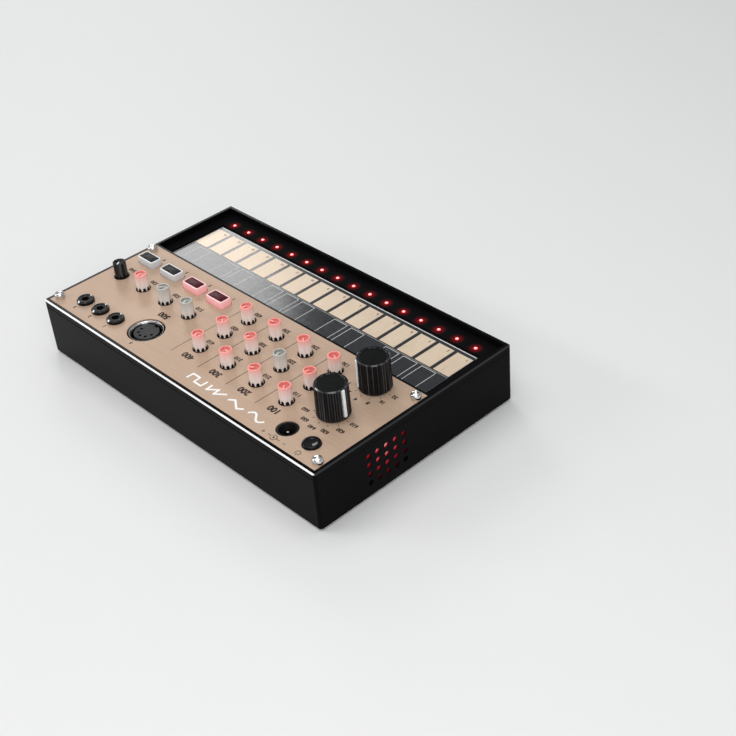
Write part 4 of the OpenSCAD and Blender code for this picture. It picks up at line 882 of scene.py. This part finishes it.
# push buttons: rounded frosted caps with a smoked insert
button = {"width": 11.8, "depth": 6.5, "corner": 1.2, "taper": 0.1, "edge": 0.45, "inlayWidth": 10.0,
          "inlayDepth": 5.0, "inlayCorner": 0.5, "sunk": 0.7, "names": ("record", "play", "memory", "function"),
          "lit": ("record", "play"), "stem": 1.5, "foot": 25.95, "tabWidth": 6.0, "tabReach": 1.0, "tabTop": 26.8}
for name in button["names"]:
    low, top = heights(name + "_button")
    b = button
    rim, foot, lit = rimZ / mm, b["foot"], name in b["lit"]
    stand = {"Start": footprint(name + "_button"), "Material": capLit if lit else capClear}
    wall = (b["depth"] - b["inlayDepth"]) / 2
    rows = [(0, foot, 0, 0), (0, foot, 1, 0), (0, rim, 1, 0.78)]
    for k in range(6):
        a = math.radians(90 * k / 5)
        rows.append((b["taper"] * 0.8 + b["edge"] * (1 - math.cos(a)), top - b["edge"] + b["edge"] * math.sin(a), 1,
                     0.7 - 0.1 * k / 5))
    rows += [(wall - 0.06, top, 1, 0.6), (wall, top - 0.06, 1, 0.7), (wall, top - b["sunk"], 1, 1.0),
             (wall, top - b["sunk"], 0, 1.0)]
    cap = capPiece(name + "Cap", rows, {
        "Sides": 48, "Width": b["width"] * mm, "Depth": b["depth"] * mm, "Corner": b["corner"] * mm,
        **stand})
    stem = turnedPiece(name + "Stem", [(0, low), (b["stem"], low), (b["stem"], foot + 0.2), (0, foot + 0.2)], {
        "Sides": 24, **stand})
    joinInto(cap, stem)
    tabs = capPiece(name + "Tabs", [(0, foot, 0, 0), (0, foot, 1, 0), (0, b["tabTop"], 1, 0), (0, b["tabTop"], 0, 0)], {
        "Sides": 16, "Width": b["tabWidth"] * mm, "Depth": (b["depth"] + 2 * b["tabReach"]) * mm, "Corner": 0.3 * mm,
        **stand})
    joinInto(cap, tabs)
    keep(cap, name + "_button", "button_frost", name + "_button")
    z0, z1 = heights(name + "_inlay")
    insert = capPiece(name + "Inlay", [
        (0, z0 + 0.12, 0, 0), (0, z0 + 0.12, 1, 0), (0, z1 - 0.2, 1, 0), (0.06, z1 - 0.06, 1, 0), (0.2, z1, 1, 0),
        (0.2, z1, 0, 0)],
        {"Sides": 32, "Width": (b["inlayWidth"] - 0.1) * mm, "Depth": (b["inlayDepth"] - 0.1) * mm,
         "Corner": b["inlayCorner"] * mm, **stand, "Material": plain["inlayLit"] if lit else plain["inlaySmoke"]})
    keep(insert, name + "_button", "inlay_dark", name + "_inlay")
print("buttons made:", len(button["names"]))

# step lights: domed lenses in the ledge
lens = {"radius": stepRow["lensRadius"] / mm, "dome": 0.34}
ledFoot = ledLow.z / mm
rows = [(0, ledFoot, 0, 0), (lens["radius"], ledFoot, 0, 0), (lens["radius"], ledgeZ / mm, 0, 0.1)]
for k in range(1, 7):
    a = math.radians(15 * k)
    rows.append((lens["radius"] * math.cos(a), ledgeZ / mm + lens["dome"] * math.sin(a), 0, 0.1 + 0.9 * k / 6))
stepLights = turnedPiece("stepLights", rows, {
    "Sides": 24, "Count": stepRow["count"], "Columns": stepRow["count"],
    "Start": (stepRow["firstX"], stepRow["y"], 0.0), "Step X": (stepRow["pitch"], 0.0, 0.0), "Material": redLens})
keep(stepLights, "case", "light_red", "step_leds")

# audio socket collars
collar = {"outer": 4.2, "inner": 3.02, "outerSlope": 0.7, "innerSlope": 0.4}
low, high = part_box("socket_nuts")
z0, z1 = low.z / mm, high.z / mm
rows = [(collar["inner"], z0), (collar["outer"], z0)]
for r, drop, way in ((collar["outer"], collar["outerSlope"], -1), (collar["inner"], collar["innerSlope"], 1)):
    slope = [(r, z1 - drop - 0.02), (r, z1 - drop, 0, 1), (r + way * drop, z1, 0, 1), (r + way * (drop + 0.02), z1)]
    rows += slope if way < 0 else slope[::-1]
rows += [(collar["inner"], z0)]
span = (high.x - low.x) - 2 * collar["outer"] * mm
threeInRow = {"Count": 3, "Columns": 3, "Start": (low.x + collar["outer"] * mm, (low.y + high.y) / 2, 0.0),
              "Step X": (span / 2, 0.0, 0.0)}
collars = turnedPiece("socketCollars", rows, {"Sides": 64, **threeInRow, "Material": collarBlack})
keep(collars, "case", "socket_black", "socket_nuts")
lining = {"inner": 1.8, "outer": 1.83, "flare": 1.88, "lip": 2.0, "foot": 2.2}
r0, r1, foot = lining["inner"], lining["outer"], z1 - lining["foot"]
rows = [(r0, foot), (r1, foot), (r1, z1 - 0.6), (lining["lip"], z1 - 0.45), (lining["lip"], z1 - 0.38),
        (lining["flare"], z1 - 0.42), (r0, z1 - 0.5), (r0, foot)]
linings = turnedPiece("socketLinings", rows, {"Sides": 40, **threeInRow, "Material": plain["darkSteel"]})
keep(linings, "case", "socket_black")

# power button: dished gloss cap
power = {"radius": 3.95, "flange": 4.95, "stem": 1.5, "crown": 0.6, "dish": 0.25, "flangeFoot": 25.95,
         "flangeTop": 26.8}
z0, z1 = heights("power_button")
rows = [(0, z0), (power["stem"], z0), (power["stem"], power["flangeFoot"]), (power["flange"], power["flangeFoot"]),
        (power["flange"], power["flangeTop"]), (power["radius"], power["flangeTop"])]
rows += arcRows(power["radius"] - power["crown"], z1 - power["crown"], power["crown"], 0, 90, 6)
rows += [(2.7, z1), (2.2, z1 - 0.12), (1.4, z1 - power["dish"]), (0, z1 - power["dish"])]
powerCap = turnedPiece("powerCap", rows, {"Sides": 64, "Start": footprint("power_button"),
                                          "Material": plain["socketGloss"]})
keep(powerCap, "power_button", "power_black", "power_button")

# round socket: plated lip, dark on its outer half, with painted shade down the inside
shell = {"outer": 8.3, "inner": 7.0, "lip": 0.32, "cone": 1.5}
z0, z1 = heights("din_shell")
rows = [(shell["inner"], z0, 0, 0, 1), (shell["outer"], z0, 0, 0, 1), (shell["outer"], z0 + 0.1, 0, 0, 0)]
lipR, lipZ = shell["outer"] - shell["lip"], z1 - shell["lip"]
rows += [row + (1,) for row in arcRows(lipR, lipZ, shell["lip"], 0, 100, 5)]
rows += arcRows(lipR, lipZ, shell["lip"], 104, 180, 5)
lipIn = shell["outer"] - 2 * shell["lip"]
rows += [(lipIn - 0.1, z1 - 0.7, 0, 0, 0), (lipIn - 0.15, z1 - 0.75, 0, 0, 1),
         (shell["inner"], z1 - shell["cone"], 0, 0, 1), (shell["inner"], z0, 0, 0, 1)]
dinShell = turnedPiece("dinShell", rows, {"Sides": 96, "Start": footprint("din_shell"), "Material": socketShell})
keep(dinShell, "case", "shell_metal", "din_shell")

# contacts inside the round socket and the power inlet's pin
pins = {"circle": 3.75, "sleeve": 0.72, "bore": 0.45, "deep": 1.2, "foot": 6, "count": 5}
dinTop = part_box("din_insert")[1].z / mm
dinAt = middle("din_shell")
foot, mouth = dinTop - pins["foot"], dinTop - pins["deep"]
rows = [(pins["bore"], foot), (pins["sleeve"], foot), (pins["sleeve"], mouth), (pins["bore"], mouth),
        (pins["bore"], foot)]
sleeves = turnedPiece("pinSleeves", rows, {
    "Sides": 20, "Count": pins["count"], "Columns": 1, "Start": footprint("din_shell"),
    "Arc Radius": pins["circle"] * mm, "Arc Start": 0.0, "Arc Step": math.radians(45),
    "Material": plain["brassContact"]})
keep(sleeves, "case", "contact_metal")
inletAt = middle("dc_socket")
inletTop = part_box("dc_socket")[1].z / mm
inlet = {"radius": 0.86, "tip": 0.7, "foot": 9, "side": 2.0, "shoulder": 1.55, "top": 1.4}
foot = inletTop - inlet["foot"]
rows = [(0, foot), (inlet["radius"], foot), (inlet["radius"], inletTop - inlet["side"]),
        (inlet["tip"], inletTop - inlet["shoulder"]), (0, inletTop - inlet["top"])]
inletPin = turnedPiece("inletPin", rows, {"Sides": 24, "Start": footprint("dc_socket"),
                                          "Material": plain["brightSteel"]})
keep(inletPin, "case", "contact_metal")

# panel screws: domed heads with a cross recess
screw = {"radius": 2.4, "shank": 1.25, "side": 1.3, "edge": 0.08, "crossLength": 3.0, "crossWidth": 0.7,
         "crossFloor": 1.5}
low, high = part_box("panel_screws")
z0, z1 = rimZ / mm, high.z / mm
r, sideTop = screw["radius"], z0 + screw["side"]
rows = [(0, low.z / mm), (screw["shank"], low.z / mm), (screw["shank"], z0), (r - screw["edge"], z0),
        (r, z0 + screw["edge"]), (r, sideTop)]
rows += [(r * math.cos(a) ** 0.55, sideTop + (z1 - sideTop) * math.sin(a))
         for a in map(math.radians, (18, 36, 52, 66, 78))]
rows += [(0, z1)]
screwX, screwY = high.x - low.x - 2 * r * mm, high.y - low.y - 2 * r * mm
screws = turnedPiece("panelScrews", rows, {
    "Sides": 40, "Count": 4, "Columns": 2, "Start": (low.x + r * mm, low.y + r * mm, 0.0),
    "Step X": (screwX, 0.0, 0.0), "Step Y": (0.0, screwY, 0.0), "Cross Length": screw["crossLength"] * mm,
    "Cross Width": screw["crossWidth"] * mm, "Cross Floor": z0 * mm + screw["crossFloor"] * mm,
    "Material": plain["brightSteel"]}, sharp=38)
cleanMesh(screws.data)
keep(screws, "case", "bright_screw", "panel_screws")
print("lights, sockets and screws made")

# battery contacts: plates with coil springs
contact = {"plate": 9.0, "thick": 0.4, "wire": 0.32, "wide": 3.9, "narrow": 2.4, "turns": 3.5, "reach": 2.4}
cellsLow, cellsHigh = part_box("battery_cells")
contactsLow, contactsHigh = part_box("battery_contacts")
cellRadius = (cellsHigh.z - cellsLow.z) / 2
cellPitch = ((cellsHigh.x - cellsLow.x) - 2 * cellRadius) / 5
cellZ = (cellsLow.z + cellsHigh.z) / 2 / mm
plates = []
for i in range(6):
    x = (cellsLow.x + cellRadius + i * cellPitch) / mm
    for y in (contactsLow.y / mm + contact["thick"] / 2, contactsHigh.y / mm - contact["thick"] / 2):
        plates.append((x, y, cellZ, contact["plate"], contact["thick"], contact["plate"], 0))
contacts = barPiece("batteryContacts", plates, plain["brassContact"])
for way, first in ((1, 0), (-1, 1)):
    y = (contactsLow.y if way == 1 else contactsHigh.y) + way * contact["thick"] * mm
    coil = shapePiece("springs", springTree, [(0, 0, 0)], {
        "Wire": contact["wire"] * mm, "Wide": contact["wide"] * mm, "Narrow": contact["narrow"] * mm,
        "Length": contact["reach"] * mm, "Turns": contact["turns"], "Tilt": (-way * turn / 4, 0.0, 0.0), "Count": 3,
        "Columns": 3, "Start": (cellsLow.x + cellRadius + first * cellPitch, y, cellZ * mm),
        "Step X": (2 * cellPitch, 0.0, 0.0), "Material": plain["brassContact"]})
    joinInto(contacts, coil)
keep(contacts, "case", "contact_metal", "battery_contacts")

# key sheet: pale border and the outlines of the upper keys
keys = {"count": 16, "line": 0.24, "thick": 0.03, "outlineWidth": 8.4, "outlineFront": -25.2, "border": 0.45,
        "inset": 0.5, "frontInset": 0.9, "midLine": -26.0, "midWidth": 0.22, "numeral": 1.9, "numeralBold": 0.02,
        "numeralShift": (2.6, 1.9),
        "upperAfter": (1, 2, 3, 5, 6, 8, 9, 10, 12, 13, 15)}
sheetTop = sheetHigh.z / mm + 0.01
pitch = stepRow["pitch"] / mm
left = stepRow["firstX"] / mm - pitch / 2
rear = sheetHigh.y / mm


def sheetBar(x, y, length, width):
    return (x, y, sheetTop, length, width, keys["thick"], 0)


bars = []
for k in keys["upperAfter"]:
    x = left + k * pitch
    half = keys["outlineWidth"] / 2
    length = rear - keys["outlineFront"]
    for side in (-1, 1):
        bars.append(sheetBar(x + side * half, rear - length / 2, keys["line"], length))
    bars.append(sheetBar(x, keys["outlineFront"], keys["outlineWidth"] + keys["line"], keys["line"]))
keep(barPiece("upperKeyLines", bars, plain["paleInk"]), "case", "key_sheet")
x0, x1 = sheetLow.x / mm + keys["inset"], sheetHigh.x / mm - keys["inset"]
y0 = sheetLow.y / mm + keys["frontInset"]
keep(barPiece("sheetEdge", [sheetBar((x0 + x1) / 2, y0, x1 - x0, keys["border"])], plain["paleInk"]), "case",
     "key_sheet")
bars = [sheetBar(x, (y0 + rear) / 2, keys["border"], rear - y0) for x in (x0, x1)]
bars += [sheetBar((x0 + x1) / 2, keys["midLine"], x1 - x0, keys["midWidth"])]
keep(barPiece("sheetBorder", bars, plain["greyInk"]), "case", "key_sheet")


# numerals and marks
def addNumeral(sheet, text, x, y, z, size, bold=0.05, thick=0.03):
    letters = bpy.data.curves.new("numeral", "FONT")
    letters.body = text
    letters.size = size * mm
    letters.align_x = "CENTER"
    letters.align_y = "CENTER"
    letters.extrude = thick / 2 * mm
    letters.resolution_u = 3
    letters.offset = bold * size * mm
    carrier = linkPiece("numeral", letters)
    graph = bpy.context.evaluated_depsgraph_get()
    mesh = bpy.data.meshes.new_from_object(carrier.evaluated_get(graph))
    mesh.transform(Matrix.Translation((x * mm, y * mm, z * mm)))
    cleanMesh(mesh)
    sheet.from_mesh(mesh)
    bpy.data.objects.remove(carrier)
    bpy.data.curves.remove(letters)
    bpy.data.meshes.remove(mesh)


def numeralPiece(name, labels, material):
    sheet = bmesh.new()
    for label in labels:
        addNumeral(sheet, *label)
    mesh = bpy.data.meshes.new(name)
    sheet.to_mesh(mesh)
    sheet.free()
    paint(mesh, material)
    return linkPiece(name, mesh)


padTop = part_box("key_pads")[1].z / mm + 0.01
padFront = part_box("key_pads")[0].y / mm
shift = keys["numeralShift"]
labels = [(str(k + 1), left + (k + 0.5) * pitch - shift[0], padFront + shift[1], padTop, keys["numeral"],
           keys["numeralBold"])
          for k in range(keys["count"])]
keep(numeralPiece("padNumerals", labels, plain["printInk"]), "case", "key_gold")

panelPrint = {"z": rimZ / mm + 0.01, "heading": 4.4, "label": 2.9, "small": 2.3, "headY": 40.6, "labelDrop": 5.9,
              "lineX": (-43.25, -23.5, -4.25, 15.1), "lineTop": 43.0, "lineFoot": -4.5, "line": 0.28, "ring": 10.6,
              "tick": 8.5, "thick": 0.03, "headShift": 0.6, "rowDrop": 0.6, "lastHead": (39.8, 28.2),
              "buttonShift": (3.6, 6.0), "nutRise": 2.0, "dinShift": (3, 10.6), "markRise": 7.4,
              "away": {"voice": 1.6, "octave": 0.9}}
p = panelPrint


def inkBar(x, y, length, width, angle=0):
    return (x, y, p["z"], length, width, p["thick"], angle)


labels = []
columns = [list(trimTurns)[3 * c:3 * c + 3] for c in range(4)]
for c, members in enumerate(columns):
    labels.append((str(c + 1) + "00", middle(members[0]).x / mm - p["headShift"], p["headY"], p["z"], p["heading"]))
    for k, node in enumerate(members):
        at = middle(node)
        labels.append((str(c + 1) + str(k + 1) + "0", at.x / mm, at.y / mm - p["labelDrop"], p["z"], p["label"]))
for k, node in enumerate(("delay_time_knob", "delay_feedback_knob", "tempo_knob", "volume_knob")):
    at = middle(node)
    labels.append(("5" + str(k + 1) + "0", at.x / mm, at.y / mm - p["labelDrop"] - p["rowDrop"], p["z"], p["label"]))
labels.append(("500", *p["lastHead"], p["z"], p["heading"]))
for k, name in enumerate(button["names"]):
    at = middle(name + "_button")
    labels.append((str(k + 1), at.x / mm - p["buttonShift"][0], at.y / mm - p["buttonShift"][1], p["z"], p["small"]))
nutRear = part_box("socket_nuts")[1].y / mm
for k in range(3):
    x = middle("socket_nuts").x / mm + (k - 1) * span / 2 / mm
    labels.append((str(k + 1), x, nutRear + p["nutRise"], p["z"], p["small"]))
labels.append(("5", dinAt.x / mm - p["dinShift"][0], dinAt.y / mm + p["dinShift"][1], p["z"], p["small"]))
dials = {"voice": ("610", "620", "630", "640", "650", "660"), "octave": ("32", "16", "8", "4", "2", "1")}
bars = []
for name, words in dials.items():
    at = middle(name + "_knob")
    for k, word in enumerate(words):
        a = math.radians(180 - 30 * k)
        away = p["ring"] + p["away"][name]
        labels.append((word, at.x / mm + away * math.cos(a), at.y / mm + away * math.sin(a), p["z"], p["label"] - 0.3))
        bars.append(inkBar(at.x / mm + p["tick"] * math.cos(a), at.y / mm + p["tick"] * math.sin(a), 1.0, p["line"],
                           math.degrees(a)))
keep(numeralPiece("panelNumerals", labels, plain["printInk"]), "case", "panel_gold")


def ringBars(x, y, radius, fromAngle, toAngle, count):
    step = (toAngle - fromAngle) / count
    length = 2.3 * radius * math.sin(math.radians(step / 2))
    spots = [math.radians(fromAngle + step * (k + 0.5)) for k in range(count)]
    return [inkBar(x + radius * math.cos(a), y + radius * math.sin(a), length, p["line"], math.degrees(a) + 90)
            for a in spots]


# polarity mark behind the inlet, power sign behind the power button
markY = inletAt.y / mm + p["markRise"]
markX = inletAt.x / mm
for x, length, angle in ((-6.4, 1.6, 0), (-2.6, 2.2, 0), (2.6, 2.2, 0), (6.4, 1.6, 0), (6.4, 1.6, 90)):
    bars.append(inkBar(markX + x, markY, length, p["line"], angle))
bars.append(inkBar(markX, markY, 0.9, 0.9))
bars += ringBars(markX, markY, 1.5, 30, 330, 14)
signX = middle("power_button").x / mm
bars += ringBars(signX, markY, 1.2, 125, 415, 12)
bars.append(inkBar(signX, markY + 0.9, p["line"], 1.3))
for x in p["lineX"]:
    bars.append(inkBar(x, (p["lineTop"] + p["lineFoot"]) / 2, p["line"], p["lineTop"] - p["lineFoot"]))
keep(barPiece("panelLines", bars, plain["printInk"]), "case", "panel_gold")

# white wave signs in place of a title
waves = {"x": -56.0, "y": 48.9, "width": 9.8, "pitch": 13.2, "height": 3.5, "line": 0.95}
sine = [(k / 16, math.sin(turn * k / 16) / 2) for k in range(17)]
triangle = [(0, 0), (0.25, 0.5), (0.75, -0.5), (1, 0)]
saw = [(0, -0.5), (0.48, 0.5), (0.5, -0.5), (0.98, 0.5), (1, -0.5)]
square = [(0, -0.5), (0.02, 0.5), (0.49, 0.5), (0.51, -0.5), (0.98, -0.5), (1, 0.5)]
bars = []
for k, shape in enumerate((sine, triangle, saw, square)):
    spots = [(waves["x"] + k * waves["pitch"] + u * waves["width"], waves["y"] + v * waves["height"]) for u, v in shape]
    for (xa, ya), (xb, yb) in zip(spots, spots[1:]):
        length = math.hypot(xb - xa, yb - ya) + waves["line"] * 0.55
        angle = math.degrees(math.atan2(yb - ya, xb - xa))
        bars.append(inkBar((xa + xb) / 2, (ya + yb) / 2, length, waves["line"], angle))
keep(barPiece("waveSigns", bars, plain["signInk"]), "case", "panel_gold")
print("print made")

# finishes for the nodes that keep their CAD shape
finishes = {
    "upper_case": caseGloss, "bottom_cover": plain["grainBlack"], "battery_door": plain["grainBlack"],
    "rubber_feet": plain["footRubber"], "control_panel": panelSatin, "cover_screws": plain["darkSteel"],
    "board_screws": plain["brightSteel"], "touch_sheet": plain["sheetGloss"], "key_pads": plain["padGold"],
    "touch_board": boardGreen, "touch_cable": flatCable, "panel_board": boardGreen, "knob_leds": redLens,
    "pot_bodies": plain["partsBlack"], "selector_switches": plain["partsBlack"], "button_switches": plain["partsBlack"],
    "main_board": boardGreen, "board_header": plain["partsBlack"], "power_switch": plain["partsBlack"],
    "audio_sockets": plain["boreBlack"], "din_insert": plain["insertBlack"], "dc_socket": plain["boreBlack"],
    "speaker_basket": basketGlow, "speaker_cone": conePaper, "speaker_magnet": plain["magnetGrey"],
    "battery_cells": cellSleeve, "voice_shaft": plain["shaftSteel"], "octave_shaft": plain["shaftSteel"]}
for node, material in finishes.items():
    slots = nodes[node].material_slots
    if not slots:
        nodes[node].data.materials.append(material)
    for slot in slots:
        slot.material = material
print("nodes finished:", len(finishes))

# studio: pale floor, soft light
studio = {"floor": 6.0, "floorColour": (0.78, 0.78, 0.77), "world": (0.92, 0.94, 0.97), "worldStrength": 0.42,
          "lamps": [("overhead", (0.1, 0.1, 1.1), (0.0, 0.0, 0.0), (1, 0, 0), (1.0, 1.0), 5.6),
                    ("rearStrip", (0.9, 0.815, 0.567), (0.0, 0.0575, 0.03), (0.415, -0.17, -0.12), (0.66, 0.14), 3.4),
                    ("cameraSoft", (-0.66, 0.44, 0.56), (0.0, 0.0, 0.02), (0.55, 0.83, 0.0), (0.6, 0.6), 3.2),
                    ("farSoft", (1.013, -0.539, 0.61), (0.05, -0.02, 0.025), (0.47, 0.88, 0.0), (0.36, 0.36), 2.2)]}
mesh = bpy.data.meshes.new("floor")
half = studio["floor"] / 2
mesh.from_pydata([(-half, -half, 0), (half, -half, 0), (half, half, 0), (-half, half, 0)], [], [(0, 1, 2, 3)])
floorFinish, tree, shader = startFinish("floorPaper", 0.7)
grain = useGroup(tree, grainGroup, Scale=60.0)
darker = [c * 0.985 for c in studio["floorColour"]]
feed(shader, "Base Color", blendColour(tree, grain["Grain"], darker, studio["floorColour"]))
mesh.materials.append(floorFinish)
linkPiece("floor", mesh)
world = bpy.data.worlds.new("studio")
bpy.context.scene.world = world
world.use_nodes = True
world.node_tree.nodes["Background"].inputs["Color"].default_value = (*studio["world"], 1)
world.node_tree.nodes["Background"].inputs["Strength"].default_value = studio["worldStrength"]
for name, place, aim, along, size, watts in studio["lamps"]:
    light = bpy.data.lights.new(name, "AREA")
    light.shape = "RECTANGLE"
    light.size, light.size_y = size
    light.energy = watts
    lamp = bpy.data.objects.new(name, light)
    facing = (Vector(place) - Vector(aim)).normalized()
    side = (Vector(along) - Vector(along).dot(facing) * facing).normalized()
    lamp.matrix_world = Matrix.Translation(place) @ Matrix((side, facing.cross(side), facing)).transposed().to_4x4()
    bpy.context.scene.collection.objects.link(lamp)

# camera from the photograph's corners
view = {"azimuth": 229.294, "elevation": 36.092, "roll": -5.216, "distance": 0.590073,
        "target": (-0.052345, -0.012923, 0.0212), "focal": 1345.042, "picture": 736, "sensor": 36.0}
a, e, roll = (math.radians(view[k]) for k in ("azimuth", "elevation", "roll"))
back = Vector((math.sin(a) * math.cos(e), -math.cos(a) * math.cos(e), math.sin(e)))
right = (-back).cross(Vector((0, 0, 1))).normalized()
up = right.cross(-back)
across = math.cos(roll) * right + math.sin(roll) * up
upward = -math.sin(roll) * right + math.cos(roll) * up
lensData = bpy.data.cameras.new("camera")
lensData.sensor_width = view["sensor"]
lensData.lens = view["focal"] / view["picture"] * view["sensor"]
lensData.clip_start = 0.01
camera = bpy.data.objects.new("camera", lensData)
pose = Matrix((across, upward, back)).transposed().to_4x4()
pose.translation = Vector(view["target"]) + back * view["distance"]
camera.matrix_world = pose
bpy.context.scene.collection.objects.link(camera)
bpy.context.scene.camera = camera
bpy.context.scene.view_settings.view_transform = "Standard"
print("studio ready")
